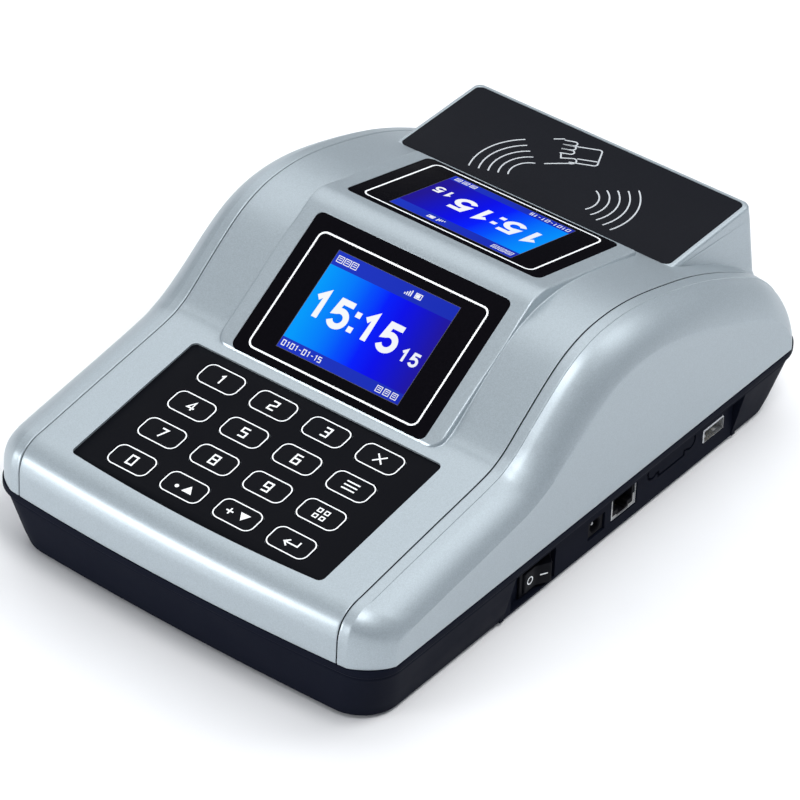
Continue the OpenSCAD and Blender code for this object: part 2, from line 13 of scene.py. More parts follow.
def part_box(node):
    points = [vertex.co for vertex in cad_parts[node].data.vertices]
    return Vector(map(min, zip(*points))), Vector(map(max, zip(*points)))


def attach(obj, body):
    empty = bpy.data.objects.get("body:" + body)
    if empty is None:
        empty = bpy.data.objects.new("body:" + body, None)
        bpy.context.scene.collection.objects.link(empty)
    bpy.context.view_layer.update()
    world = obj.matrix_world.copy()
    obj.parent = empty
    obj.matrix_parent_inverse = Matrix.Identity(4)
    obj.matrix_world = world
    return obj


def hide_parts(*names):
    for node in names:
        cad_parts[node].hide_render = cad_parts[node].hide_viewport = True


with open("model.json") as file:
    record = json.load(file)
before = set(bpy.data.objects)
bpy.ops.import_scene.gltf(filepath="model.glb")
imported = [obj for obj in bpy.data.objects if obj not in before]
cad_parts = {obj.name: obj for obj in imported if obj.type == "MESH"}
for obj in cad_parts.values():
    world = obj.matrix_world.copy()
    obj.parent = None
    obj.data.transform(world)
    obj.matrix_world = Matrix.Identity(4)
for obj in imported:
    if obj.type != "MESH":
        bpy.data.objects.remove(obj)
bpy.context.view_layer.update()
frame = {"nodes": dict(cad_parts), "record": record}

MM = 0.001


# ---- measures taken from the frame ----
def mm_box(node):
    """Lowest and highest corner of a CAD node, in mm."""
    lo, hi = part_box(node)
    return lo / MM, hi / MM


shell_lo, shell_hi = mm_box("base_shell")
cheek_lo, cheek_hi = mm_box("right_cheek")
BODY_X = shell_hi.x  # half width at the rim
PARTING = cheek_lo.z  # the cover stands on the base at this height
SEAM_X = 75.6
CHEEK_X = cheek_lo.x
SHOULDER_X = cheek_hi.x - 0.1
WALL = 2.2

# ---- side profile: cover top y, z and shoulder line y, z, from the front edge to the rear ----
SIDE = np.array([
    [-137.5, 22, -125.4, 22], [-137.4, 36, -124.9, 33], [-137, 43, -124, 37.2],
    [-134.6, 48.6, -121.8, 40.2], [-129, 52.2, -117.6, 42.1], [-119, 53.9, -110, 43.6],
    [-85, 59.2, -83, 47.4], [-53, 64.1, -50, 52.6], [-44, 66.9, -39, 55.8],
    [-38, 70.4, -31, 59.4], [-30, 76.6, -22, 64.6], [-16, 87, -10, 72.8],
    [-6, 93, 0, 78.6], [4, 96.6, 8, 81.6], [14, 98.1, 17, 83.3], [26, 98, 27, 83.5],
    [40, 95.9, 40, 81.6], [58, 91.2, 57, 76.8], [76, 85.4, 74, 70.4], [92, 78.6, 90, 64],
    [106, 71.5, 103, 57.8], [118, 64.6, 113, 52.4], [127, 57.2, 119.6, 47],
    [134, 48.6, 124.4, 41.4], [138.6, 38.4, 127, 35.6], [140.4, 30, 127.8, 30],
    [140.5, 22, 128.4, 22]])
LAST = len(SIDE) - 1
CREASE_X = 80.4
ARC = (25, 66)
COVER_BOW = 2.8

# ---- planes of the sloped faces: centre y, z and slope ----
KEY_PLANE = (-90.65, 57.4, 8.7)
FRONT_PLANE = (-23.65, 82.7, 32.9)
REAR_PLANE = (45.26, 95.43, -13.4)
READER_PLANE = (103.5, 85.5, 1.4)
FRONT_PANEL = (FRONT_PLANE, (92.2, 63.4))
REAR_PANEL = (REAR_PLANE, (92.2, 55.0))
READER_PANEL = (READER_PLANE, (130, 52))
WINDOW_GAP = 0.1
POD_X = 53.3
POD_Y = (-50.6, 72.6)
CREST_R = 15


def side(i):
    """Catmull-Rom point of the side profile at a fractional row."""
    k = min(max(int(i), 0), LAST - 1)
    t = i - k
    a, b, c, d = (SIDE[min(max(k + s, 0), LAST)] for s in (-1, 0, 1, 2))
    return 0.5 * (2 * b + (c - a) * t + (2 * a - 5 * b + 4 * c - d) * t * t
                  + (3 * b - a - 3 * c + d) * t ** 3)


def between(i, f):
    """Profile point [y, z] at a share f of the way from the cover top to the shoulder line."""
    p = side(i)
    return p[:2] + (p[2:] - p[:2]) * f


def inward(i):
    """Unit [y, z] into the body at a row of the cover top."""
    t = side(min(i + 0.05, LAST))[:2] - side(max(i - 0.05, 0))[:2]
    t = t / np.linalg.norm(t)
    return np.array([t[1], -t[0]])


def solve(f, lo, hi):
    """Where a rising or falling function crosses zero."""
    up = f(hi) > 0
    for _ in range(40):
        mid = (lo + hi) / 2
        if (f(mid) > 0) == up:
            hi = mid
        else:
            lo = mid
    return (lo + hi) / 2


def ends_at(level, f=0):
    """First and last row at which the surface stands at a height."""
    return [solve(lambda i: between(i, f)[1] - level, lo, hi) for lo, hi in ((0, 2), (LAST - 2, LAST))]


def row_at(y):
    """Row at which the cover top has this y."""
    return solve(lambda i: side(i)[0] - y, 1, LAST - 1)


DENSE = np.array([side(i)[:2] for i in np.linspace(0, LAST, 800)])


def cover_z(y):
    return float(np.interp(y, DENSE[:, 0], DENSE[:, 1]))


def cos_sin(degrees):
    a = math.radians(degrees)
    return math.cos(a), math.sin(a)


def on_plane(plane, u, v, d=0.0):
    """Point u across, v up the slope and d above a sloped plane."""
    y, z, tilt = plane
    c, s = cos_sin(tilt)
    return (u, y + v * c - d * s, z + v * s + d * c)


def facing(plane, turn=1):
    """Function that puts (u, v, d) on a sloped plane, turned half round when turn is -1."""
    def place(u, v, d):
        return on_plane(plane, turn * u, turn * v, d)
    return place


# ---- outlines ----
def arc(cx, cy, r, a0, a1, n):
    steps = [cos_sin(a0 + (a1 - a0) * i / n) for i in range(n + 1)]
    return [(cx + r * c, cy + r * s) for c, s in steps]


def circle(centre, r, n):
    return arc(*centre, r, 0, 360, n)[:-1]


def moved(points, by):
    return [(u + by[0], v + by[1]) for u, v in points]


def span(middle, below, above=None):
    """Low and high end about a middle."""
    return middle - below, middle + (below if above is None else above)


def rectangle(x, y, a, b):
    """Corners about a middle, a to either side and b up and down."""
    return [(x + a, y - b), (x + a, y + b), (x - a, y + b), (x - a, y - b)]


def slab(w, l, r, bow=0.0, n=8, steps=24):
    """Rounded rectangle, centred, counterclockwise, with an optional bow on its front side."""
    x, y = w / 2 - r, l / 2 - r
    pts = arc(x, y, r, 0, 90, n) + arc(-x, y, r, 90, 180, n) + arc(-x, -y, r, 180, 270, n)
    if bow:
        for i in range(1, steps):
            u = 2 * i / steps - 1
            pts.append((u * x, -l / 2 - bow * (1 - u * u)))
    return pts + arc(x, -y, r, 270, 360, n)


class Shape:
    """Points and faces in mm, collected before they become one mesh."""

    def __init__(self):
        self.points, self.faces, self.marks = [], [], []

    def put(self, points, faces, mark=0):
        base = len(self.points)
        self.points += [tuple(p) for p in points]
        self.faces += [[base + i for i in f] for f in faces]
        self.marks += [mark] * len(faces)
        return self

    def grid(self, rows, closed=False, mark=0, flip=False, wrap=False):
        """Quads through rows of equal length; closed joins each row's ends, wrap the outer rows."""
        n = len(rows[0])
        faces = []
        for r in range(len(rows) - (not wrap)):
            q = (r + 1) % len(rows)
            for c in range(n if closed else n - 1):
                d = (c + 1) % n
                f = [r * n + c, r * n + d, q * n + d, q * n + c]
                faces.append(f[::-1] if flip else f)
        return self.put([p for row in rows for p in row], faces, mark)

    def loft(self, rings, mark=0):
        """Closed solid through counterclockwise rings, lowest first."""
        n = len(rings[0])
        self.grid(rings, closed=True, mark=mark)
        base = len(self.points) - n * len(rings)
        self.faces.append([base + i for i in range(n)][::-1])
        self.faces.append([base + n * (len(rings) - 1) + i for i in range(n)])
        self.marks += [mark, mark]
        return self

    def box(self, x, y, z, c=0.0, mark=0):
        """Box with chamfered edges along z and round its top and bottom."""
        cx, cy = (x[0] + x[1]) / 2, (y[0] + y[1]) / 2
        w, l = x[1] - x[0], y[1] - y[0]
        if not c:
            return self.loft([[(p, q, h) for p, q in rectangle(cx, cy, w / 2, l / 2)] for h in z], mark)
        rings = []
        for g, h in ((c, z[0]), (0, z[0] + c), (0, z[1] - c), (c, z[1])):
            corners = slab(w - 2 * g, l - 2 * g, max(c - g, 0.001), n=1)
            rings.append([(cx + p, cy + q, h) for p, q in corners])
        return self.loft(rings, mark)

    def lathe(self, centre, profile, n=32, mark=0):
        """Solid turned about a vertical line through centre; profile is (radius, z) upwards."""
        return self.loft([[(x, y, z) for x, y in circle(centre, r, n)] for r, z in profile], mark)

    def lathe_x(self, centre, profile, n=32):
        """Solid turned about a line along X through (y, z); profile is (radius, x)."""
        return self.loft([[(x, y, z) for y, z in circle(centre, r, n)] for r, x in profile])

    def stroke(self, points, width, place, d0, d1, closed=False, mark=0):
        """Raised line of a given width through 2D points; place puts (u, v, d) in the frame."""
        p = [Vector(q) for q in points]
        n = len(p)
        rings = []
        for i in range(n):
            before = p[i] - p[i - 1] if closed or i else p[1] - p[0]
            after = p[(i + 1) % n] - p[i] if closed or i < n - 1 else p[i] - p[i - 1]
            before.normalize()
            t = before + after.normalized()
            t = t.normalized() if t.length > 1e-6 else before
            step = Vector((-t.y, t.x)) * (width / 2 / max(t.dot(before), 0.5))
            a, b = p[i] + step, p[i] - step
            rings.append([place(*q, d) for q, d in ((a, d0), (a, d1), (b, d1), (b, d0))])
        if closed:
            return self.grid(rings, closed=True, mark=mark, wrap=True)
        return self.loft(rings, mark)

    def patch(self, loops, place, d, mark=0):
        """Flat face between an outer loop and its holes."""
        flat = [[Vector((u, v, 0)) for u, v in loop] for loop in loops]
        return self.put([place(u, v, d) for loop in loops for u, v in loop],
                        [list(t) for t in tessellate_polygon(flat)], mark)


def add_object(name, data):
    obj = bpy.data.objects.new(name, data)
    bpy.context.scene.collection.objects.link(obj)
    return obj


def mesh_of(name, shape):
    mesh = bpy.data.meshes.new(name)
    mesh.from_pydata([Vector(p) * MM for p in shape.points], [], shape.faces)
    return mesh


def solid_of(name, shape, materials=(), weld=False):
    """Object from a shape in mm, with its faces turned outward."""
    mesh = mesh_of(name, shape)
    for m in materials:
        mesh.materials.append(m)
    mesh.polygons.foreach_set("material_index", shape.marks)
    bm = bmesh.new()
    bm.from_mesh(mesh)
    if weld:
        bmesh.ops.remove_doubles(bm, verts=bm.verts, dist=2e-6)
    bmesh.ops.recalc_face_normals(bm, faces=bm.faces)
    bm.to_mesh(mesh)
    bm.free()
    return add_object(name, mesh)


def build(name, shape, slot, materials=(), body="housing", replaces=None, sharp=32, weld=True):
    """One piece of the looks, riding on a body of the frame, by default in its slot's own look."""
    obj = solid_of(name, shape, materials or [SLOT_LOOKS[slot]], weld)
    shade(obj, sharp)
    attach(obj, body)
    if replaces:
        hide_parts(replaces)
    return obj


def shade(obj, sharp):
    """Smooth shading between sharp edges, except on flat undersides."""
    mesh = obj.data
    mesh.set_sharp_from_angle(angle=math.radians(sharp))
    mesh.polygons.foreach_set("use_smooth", [p.normal.z > -0.998 for p in mesh.polygons])


def carve(obj, cuts, joins=(), sharp=32):
    """Joins solids to a closed piece, then cuts others out of it."""
    tools = []
    for operation, shape in [("UNION", s) for s in joins] + [("DIFFERENCE", s) for s in cuts]:
        tools.append(solid_of("tool", shape))
        m = obj.modifiers.new("carve", "BOOLEAN")
        m.operation, m.solver, m.object = operation, "EXACT", tools[-1]
    dg = bpy.context.evaluated_depsgraph_get()
    mesh = bpy.data.meshes.new_from_object(obj.evaluated_get(dg))
    obj.modifiers.clear()
    obj.data = mesh
    for t in tools:
        bpy.data.objects.remove(t)
    shade(obj, sharp)


# ---- Materials ----
def srgb(r, g, b):
    """Linear colour from 8-bit display values."""
    def one(c):
        c = c / 255
        return c / 12.92 if c <= 0.04045 else ((c + 0.055) / 1.055) ** 2.4
    return (one(r), one(g), one(b), 1)


class Nodes:
    """Short way to write a node tree."""

    def __init__(self, name, world=False):
        self.data = (bpy.data.worlds if world else bpy.data.materials).new(name)
        self.data.use_nodes = True
        self.tree = self.data.node_tree
        self.shader = self.tree.nodes["Background" if world else "Principled BSDF"]
        self.where = self.add("ShaderNodeTexCoord").outputs["Generated" if world else "Object"]

    def feed(self, socket, value):
        """Links a node's output to a socket, or sets the socket's own value."""
        if isinstance(value, bpy.types.NodeSocket):
            self.tree.links.new(value, socket)
        else:
            socket.default_value = value

    def add(self, kind, **inputs):
        node = self.tree.nodes.new(kind)
        for key, value in inputs.items():
            self.feed(node.inputs[key.replace("_", " ")], value)
        return node

    def put(self, name, value):
        self.feed(self.shader.inputs[name], value)

    def noise(self, per_mm, detail=2.0):
        return self.add("ShaderNodeTexNoise", Vector=self.where, Scale=1000 * per_mm,
                        Detail=detail).outputs["Fac"]

    def mix(self, factor, a, b):
        node = self.add("ShaderNodeMix")
        node.data_type = "RGBA"
        for i, value in ((0, factor), (6, a), (7, b)):
            self.feed(node.inputs[i], value)
        return node.outputs[2]

    def ranged(self, value, lo, hi, out_lo, out_hi):
        return self.add("ShaderNodeMapRange", Value=value, From_Min=lo, From_Max=hi, To_Min=out_lo,
                        To_Max=out_hi).outputs["Result"]


def fill_ramp(ramp, stops):
    """Puts (position, colour) stops on a colour ramp."""
    elements = ramp.color_ramp.elements
    elements[0].position, elements[0].color = stops[0]
    elements[1].position, elements[1].color = stops[-1]
    for position, colour in stops[1:-1]:
        elements.new(position).color = colour


def scaled(colour, k):
    return tuple(min(c * k, 1) for c in colour[:3]) + (1,)


def finish_of(name, colour, rough, specular, grain, contrast, bump, cloud=0.05):
    """A surface with fine grain in its colour and relief and soft clouds in its roughness."""
    n = Nodes(name)
    fine = n.noise(grain, 3)
    n.put("Base Color", n.mix(n.ranged(fine, 0.3, 0.7, 0, 1), scaled(colour, 1 - contrast),
                              scaled(colour, 1 + contrast)))
    n.put("Roughness", n.ranged(n.noise(0.05, 3), 0.3, 0.7, rough - cloud, rough + cloud))
    lump = n.add("ShaderNodeBump", Height=fine, Strength=bump, Distance=0.00004)
    n.put("Normal", lump.outputs["Normal"])
    n.put("Specular IOR Level", specular)
    return n.data


def silver_paint():
    """Satin silver paint: metal flakes, each a little lighter or darker, under a soft sheen."""
    n = Nodes("silver_paint")
    flakes = n.add("ShaderNodeTexVoronoi", Vector=n.where, Scale=3600).outputs["Color"]
    bright = n.add("ShaderNodeSeparateColor", Color=flakes).outputs["Red"]
    base = srgb(166, 176, 182)
    n.put("Base Color", n.mix(bright, scaled(base, 0.90), scaled(base, 1.08)))
    n.put("Roughness", n.ranged(bright, 0, 1, 0.37, 0.47))
    lump = n.add("ShaderNodeBump", Height=bright, Strength=0.06, Distance=0.00003)
    n.put("Normal", lump.outputs["Normal"])
    n.put("Metallic", 0.5)
    return n.data


def board_green():
    """Solder mask over a net of traces."""
    n = Nodes("board_green")
    traces = n.add("ShaderNodeTexBrick", Vector=n.where, Scale=180, Mortar_Size=0.06).outputs["Fac"]
    n.put("Base Color", n.mix(traces, srgb(10, 74, 44), srgb(28, 112, 66)))
    n.put("Roughness", n.ranged(n.noise(2), 0, 1, 0.3, 0.5))
    return n.data


def brushed(name, colour, rough, metallic=0.8):
    """Metal with fine drawn lines along X."""
    n = Nodes(name)
    stretch = n.add("ShaderNodeMapping", Vector=n.where, Scale=(0.05, 1, 1)).outputs["Vector"]
    lines = n.add("ShaderNodeTexNoise", Vector=stretch, Scale=9000, Detail=3.0).outputs["Fac"]
    n.put("Base Color", n.mix(lines, scaled(colour, 0.8), scaled(colour, 1.1)))
    n.put("Roughness", n.ranged(lines, 0.2, 0.8, rough - 0.08, rough + 0.08))
    n.put("Metallic", metallic)
    return n.data


def ribbon_stripes():
    """Pale flat cable with copper lines along its length."""
    n = Nodes("ribbon_stripes")
    wave = n.add("ShaderNodeTexWave", Vector=n.where, Scale=160.0).outputs["Fac"]
    n.put("Base Color", n.mix(n.ranged(wave, 0.6, 0.7, 0, 1), srgb(222, 214, 190), srgb(176, 132, 88)))
    n.put("Roughness", n.ranged(n.noise(3), 0, 1, 0.35, 0.5))
    return n.data


def glow(name, stops, flip=1):
    """Lit picture: a colour ramp across the screen, slightly tilted, with a fine grid of dots."""
    n = Nodes(name)
    split = n.add("ShaderNodeSeparateXYZ", Vector=n.where)
    along = n.ranged(split.outputs["X"], flip * -0.029, flip * 0.029, 0, 1)
    tilt = n.ranged(split.outputs["Y"], -0.07, 0.07, -0.08, 0.08)
    place = n.add("ShaderNodeMath")
    n.feed(place.inputs[0], along)
    n.feed(place.inputs[1], tilt)
    ramp = n.add("ShaderNodeValToRGB", Fac=place.outputs[0])
    fill_ramp(ramp, [(at, srgb(*colour)) for at, colour in stops])
    cells = n.add("ShaderNodeTexVoronoi", Vector=n.where, Scale=6000, Randomness=0)
    fleck = n.ranged(cells.outputs["Distance"], 0, 0.7, 1.02, 0.94)
    n.put("Emission Color", ramp.outputs["Color"])
    n.put("Emission Strength", fleck)
    n.put("Base Color", (0.002, 0.002, 0.004, 1))
    n.put("Roughness", 0.25)
    n.put("Specular IOR Level", 0.0)
    return n.data


SILVER = silver_paint()
# name, colour, roughness, specular level, grains per mm, contrast, relief
BLACK = finish_of("black_abs", srgb(19, 22, 33), 0.5, 0.015, 4, 0.12, 0.25)
FILM = finish_of("keypad_film", srgb(12, 13, 18), 0.42, 0.03, 6, 0.15, 0.12)
KEY = finish_of("key_film", srgb(13, 14, 19), 0.40, 0.035, 6, 0.15, 0.12)
GLASS = finish_of("black_window", srgb(12, 11, 15), 0.22, 0.004, 1, 0.1, 0.0)
READ = finish_of("reader_film", srgb(26, 27, 32), 0.45, 0.03, 5, 0.2, 0.2)
INK = finish_of("white_ink", srgb(248, 250, 252), 0.5, 0.2, 6, 0.04, 0.05)
GREY_INK = finish_of("silver_ink", srgb(196, 200, 204), 0.45, 0.3, 6, 0.05, 0.05)
BOARD = board_green()
STEEL = brushed("plated_steel", srgb(205, 207, 210), 0.28)
SPRING = brushed("spring_steel", srgb(206, 206, 204), 0.4, 0.35)
COPPER = brushed("copper", srgb(206, 138, 92), 0.3)
BRASS = brushed("brass_blade", srgb(212, 180, 110), 0.3)
GOLD = brushed("gold_contact", srgb(226, 190, 96), 0.25)
CHIP = finish_of("chip_plastic", srgb(20, 20, 24), 0.55, 0.06, 5, 0.2, 0.3)
SWITCH = finish_of("switch_plastic", srgb(12, 13, 19), 0.42, 0.06, 5, 0.12, 0.15)
RIBBON = ribbon_stripes()
TONGUE = finish_of("port_tongue", srgb(150, 152, 150), 0.5, 0.1, 5, 0.08, 0.1)
SCREEN_EDGE = finish_of("screen_edge", srgb(74, 74, 84), 0.5, 0.02, 6, 0.08, 0.05)
RUBBER = finish_of("rubber", srgb(26, 26, 28), 0.75, 0.3, 2.5, 0.2, 0.5)
LCD_STOPS = ((0.0, (0, 156, 255)), (0.2, (0, 126, 255)), (0.36, (0, 80, 255)), (0.5, (2, 30, 255)),
             (0.64, (8, 14, 236)), (0.82, (20, 20, 196)), (1.0, (34, 22, 150)))
LCD = {1: glow("front_picture", LCD_STOPS), -1: glow("rear_picture", LCD_STOPS, -1)}
BAR = glow("picture_bar", ((0.0, (30, 56, 196)), (0.5, (28, 50, 190)), (1.0, (26, 46, 182))))
LIT = glow("picture_white", ((0.0, (250, 252, 255)), (0.5, (250, 252, 255)), (1.0, (240, 244, 255))))

SLOT_LOOKS = dict(
    black_abs=BLACK, silver_paint=SILVER, keypad_film=FILM, key_film=KEY, black_window=GLASS,
    reader_film=READ, display=LCD[1], circuit_board=BOARD, spring_steel=SPRING, copper=COPPER,
    chip_plastic=CHIP, plated_steel=STEEL, brass_blade=BRASS, switch_plastic=SWITCH, ribbon=RIBBON,
    rubber=RUBBER)


def dress_inner_nodes():
    """Every CAD node takes the look of its own slot."""
    slots = {p["node"]: p["material_slot"] for p in frame["record"]["subparts"]}
    for name, obj in frame["nodes"].items():
        obj.data.materials.clear()
        obj.data.materials.append(SLOT_LOOKS[slots[name]])


# ---- Base tray ----
# half width, front, rear, corner radius, front bow
EDGE = (87, -131.2, 132.9, 17, 1.6)
WALL_TOP = (92.2, -135.6, 139, 16, 2.6)
RIM = (BODY_X, -137, 140.4, 16, 3.4)
FOOT_H = shell_lo.z
FOOT_R = 1.1
FLOOR_Z = FOOT_H + WALL
WALL_TOP_Z = 24.4
RIM_Z = 27
RIM_R = 0.4
LIP_H = 2.6
# port bay: its reach in y, its wall's x, and the y and z of what sits in it
BAY = (-50.7, 98.5)
PORT_X = 87
POCKET = ((-46, -18.3), (2.8, 19.5), 84)
SWITCH_C = (82, -28.3, 9.3)
DC = (8, 11.2)
NET = (26, 13.6)
USB = (85.4, 12.4)
SERIAL = (57, 15.7)
PCB_TOP = 6.9
SCREWS = [(-58, -119), (58, -119), (-58, 112), (58, 112), (-82, -98), (82, -98), (-82, 110), (82, 110)]
FEET = [(-68, -108), (68, -108), (-68, 124), (68, 124)]


def outline(s, grow, z):
    half, front, rear, r, bow = s
    pts = slab(2 * (half + grow), rear - front + 2 * grow, r + grow, bow, n=14, steps=28)
    return [(x, y + (front + rear) / 2, z) for x, y in pts]


def blend_outline(a, b, t, z):
    return [(p[0] + (q[0] - p[0]) * t, p[1] + (q[1] - p[1]) * t, z)
            for p, q in zip(outline(a, 0, z), outline(b, 0, z))]


def tray():
    top = PARTING - 0.3
    bend = [cos_sin(a) for a in range(15, 91, 15)]
    rings = [outline(EDGE, -1.6, FOOT_H)]
    rings += [outline(EDGE, -FOOT_R * (1 - s), FOOT_H + FOOT_R * (1 - c)) for c, s in bend]
    for z in (7, 13, 19, 23.9):
        rings.append(blend_outline(EDGE, WALL_TOP, (z - FOOT_H) / (WALL_TOP_Z - FOOT_H), z))
    # a fine step, then the rim with its round top
    rings += [outline(WALL_TOP, g, z) for g, z in ((-0.02, 24.3), (0, 24.6), (0, 25.4))]
    rings += [outline(RIM, g, RIM_Z + h) for g, h in ((-0.35, -0.3), (-0.1, -0.05), (0, 0.25))]
    rings += [outline(RIM, 0, top - 0.5)]
    rings += [outline(RIM, -RIM_R * (1 - c), top - RIM_R * (1 - s)) for c, s in bend]
    # the inner lip and the inside of the wall, down to the floor
    rings += [outline(RIM, g, z) for g, z in ((-3.2, top), (-3.2, top + LIP_H), (-4.6, top + LIP_H))]
    rings += [outline(WALL_TOP, -WALL - 1, WALL_TOP_Z), outline(EDGE, -WALL, FLOOR_Z + 1.5),
              outline(EDGE, -WALL - 1.5, FLOOR_Z)]
    obj = build("tray", Shape().loft(rings), "black_abs", replaces="base_shell")

    inner = PORT_X - WALL
    y0, y1 = BAY[0] - WALL, BAY[1] + WALL
    (p0, p1), (q0, q1), back = POCKET
    wall = Shape().box((inner, PORT_X + 0.5), (y0, y1), (FOOT_H + 0.3, RIM_Z - 0.6))
    ceiling = Shape().box((inner + 0.1, 91.4), (y0 + 0.1, y1 - 0.1), (WALL_TOP_Z, RIM_Z - 0.5))
    pocket_wall = Shape().box((back - WALL, PORT_X + 0.4), (p0 - WALL, p1 + WALL), (FOOT_H + 0.4, q1 + WALL))
    ends = Shape()
    draft = ((EDGE[0] - 1.4, FOOT_H + 1.4), (WALL_TOP[0] - 0.8, WALL_TOP_Z + 1))
    for y in (y0, BAY[1]):
        a, b = y + 0.02, y + WALL - 0.02
        ends.loft([[(inner + 0.2, a, z), (x, a, z), (x, b, z), (inner + 0.2, b, z)] for x, z in draft])
    bay = Shape().box((PORT_X, 120), BAY, (-1, WALL_TOP_Z))
    pocket = Shape().box((back, 100), (p0, p1), (q0, q1))
    holes = Shape()
    sy, sz = SWITCH_C[1:]
    holes.box((78, 100), span(sy, 9.35), span(sz, 5.6))
    board_z = PCB_TOP - 0.2
    for (y, _), half, low, high in ((DC, 5.4, board_z, DC[1] + 3.8), (NET, 8.4, board_z, NET[1] + 6.5),
                                    (USB, 7.2, USB[1] - 3.4, USB[1] + 3.4)):
        holes.box((80, 100), span(y, half), (low, high))
    screws = Shape()
    for at in SCREWS:
        screws.lathe(at, [(3.3, -1), (3.3, FOOT_H + 3), (1.7, FOOT_H + 3.01), (1.7, 8)], n=28)
    carve(obj, [bay, pocket, holes, knockout_groove(), screws], joins=[wall, ceiling, pocket_wall, ends])


def knockout(g):
    """Outline of an unused nine-pin socket with its two screw ears, grown by g."""
    ear, low, high = 3.4 + g, 2.5 + g, 4.5 + g
    a = math.degrees(math.asin(low / ear))
    slant = low * 1.2 / 9
    upper = [(9.2 + g + slant, low), (9.8 + g, high)]
    lower = [(8.6 + g, -high), (9.2 + g - slant, -low)]
    return (arc(12.5, 0, ear, -180 + a, 180 - a, 18) + upper + [(-u, v) for u, v in upper[::-1]]
            + arc(-12.5, 0, ear, a, 360 - a, 18) + [(-u, v) for u, v in lower[::-1]] + lower)


def knockout_groove():
    across = ((0.4, 1), (0.4, -1), (-0.7, -1), (-0.7, 1), (0.4, 1))
    return Shape().grid([[(PORT_X + h, SERIAL[0] + u, SERIAL[1] + v) for u, v in knockout(g)]
                         for g, h in across], closed=True)


# ---- Silver covers ----
EDGE_R = 0.35  # rounding of the covers' lower edge
LIP = ((0.10, EDGE_R - 0.25), (EDGE_R, 0.0), (WALL, 0.0))  # inward step and height above the parting


def bow(x, y):
    return COVER_BOW * (1 - (x / SEAM_X) ** 2) * min(1.0, max(0.0, (-98 - y) / 26))


def smooth_step(t):
    t = min(max(t, 0.0), 1.0)
    return t * t * (3 - 2 * t)


def pod_z(y):
    """Height of the pod's window planes and the crest between them."""
    def plane_z(plane, at):
        cy, cz, tilt = plane
        return cz + (at - cy) * math.tan(math.radians(tilt))

    f, r = math.radians(FRONT_PLANE[2]), math.radians(-REAR_PLANE[2])
    meet = solve(lambda at: plane_z(FRONT_PLANE, at) - plane_z(REAR_PLANE, at), -20, 40)
    reach = CREST_R * (1 / math.cos(f) - 1 / math.cos(r)) / (math.tan(f) + math.tan(r))
    cy = meet + reach
    cz = plane_z(FRONT_PLANE, meet) + reach * math.tan(f) - CREST_R / math.cos(f)
    if y < cy - CREST_R * math.sin(f):
        return plane_z(FRONT_PLANE, y)
    if y > cy + CREST_R * math.sin(r):
        return plane_z(REAR_PLANE, y)
    return cz + math.sqrt(CREST_R ** 2 - (y - cy) ** 2)


POD_CORNER = 5.5
POD_EDGE = 1.0
POD_FLAT = 46.6


def pod_half_width(y):
    back = min(max(y - POD_Y[0], 0.0), POD_CORNER)
    return POD_X - POD_CORNER + math.sqrt(POD_CORNER ** 2 - (POD_CORNER - back) ** 2)


def pod_height(y):
    if not POD_Y[0] < y <= POD_Y[1]:
        return 0.0
    return max(pod_z(y) - cover_z(y), 0.0) * smooth_step((y - POD_Y[0]) / 0.7 + 0.15)


def cover_row(i):
    """Points of the cover across one row, from the middle out to the right seam."""
    y, z = side(i)[:2]
    n = inward(i)
    h = pod_height(y) if z > 60 else 0.0
    w = pod_half_width(y)
    edge = min(POD_EDGE, 0.6 * h)
    foot = min(0.6, 0.35 * h)
    row = [(x, y, z + h) for x in (0, 8, 16, 24, 32, 40, 44, POD_FLAT)]
    row += [(POD_FLAT + (w - edge - POD_FLAT) * k, y, z + h) for k in (0.35, 0.7, 1.0)]
    row += [(w - edge + edge * s, y, z + h - edge * (1 - c)) for c, s in map(cos_sin, (15, 35, 55, 75, 90))]
    row += [(w + foot * (1 - c), y, z + foot * (1 - s)) for c, s in map(cos_sin, (0, 20, 45, 70, 90))]
    row += [(x, y, z) for x in (54.4, 55.5, 57.5, 60, 63, 66.5, 70, 72.5, 74.2, 75.2)]
    seam = ((75.45, 0.03), (75.55, 0.1), (SEAM_X, 0.28))
    row += [(x, y + drop * n[0], z + drop * n[1]) for x, drop in seam]
    return [(x, py - bow(x, py), pz) for x, py, pz in row]


def centre_cover():
    rows_at = list(np.linspace(*ends_at(PARTING + EDGE_R), 250))
    fronts = [POD_Y[0] + t for t in (-0.3, -0.05, 0, 0.05, 0.15, 0.3, 0.45, 0.6, 0.9, 1.4, 2.1, 3, 4, 5, 6)]
    rows_at += [row_at(y) for y in fronts + [POD_Y[1] - 0.02, POD_Y[1] + 0.02]]
    rows_at.sort()
    outer, inner = [], []
    for i in rows_at:
        right = cover_row(i)
        row = [(-x, y, z) for x, y, z in right[:0:-1]] + right
        y, z = side(i)[:2] + WALL * inward(i)
        k = 1 - WALL / SEAM_X
        outer.append(row)
        inner.append([(x * k, y - bow(x, y), max(z, PARTING)) for x, _, _ in row])
    for at, step in ((0, 1), (-1, -1)):
        lips = [[(x, y + step * d, PARTING + h) for x, y, _ in outer[at]] for d, h in LIP]
        inners = [inner[at]] * len(lips)
        if at == 0:
            outer, inner = lips[::-1] + outer, inners + inner
        else:
            outer, inner = outer + lips, inner + inners
    s = Shape()
    loop = outer + inner[::-1]
    s.grid(loop + [loop[0]])
    for c in (0, -1):
        s.grid([[a[c], b[c]] for a, b in zip(outer, inner)])
    obj = build("cover_skin", s, "silver_paint", replaces="centre_cover")
    carve(obj, cover_cutters(), sharp=28)


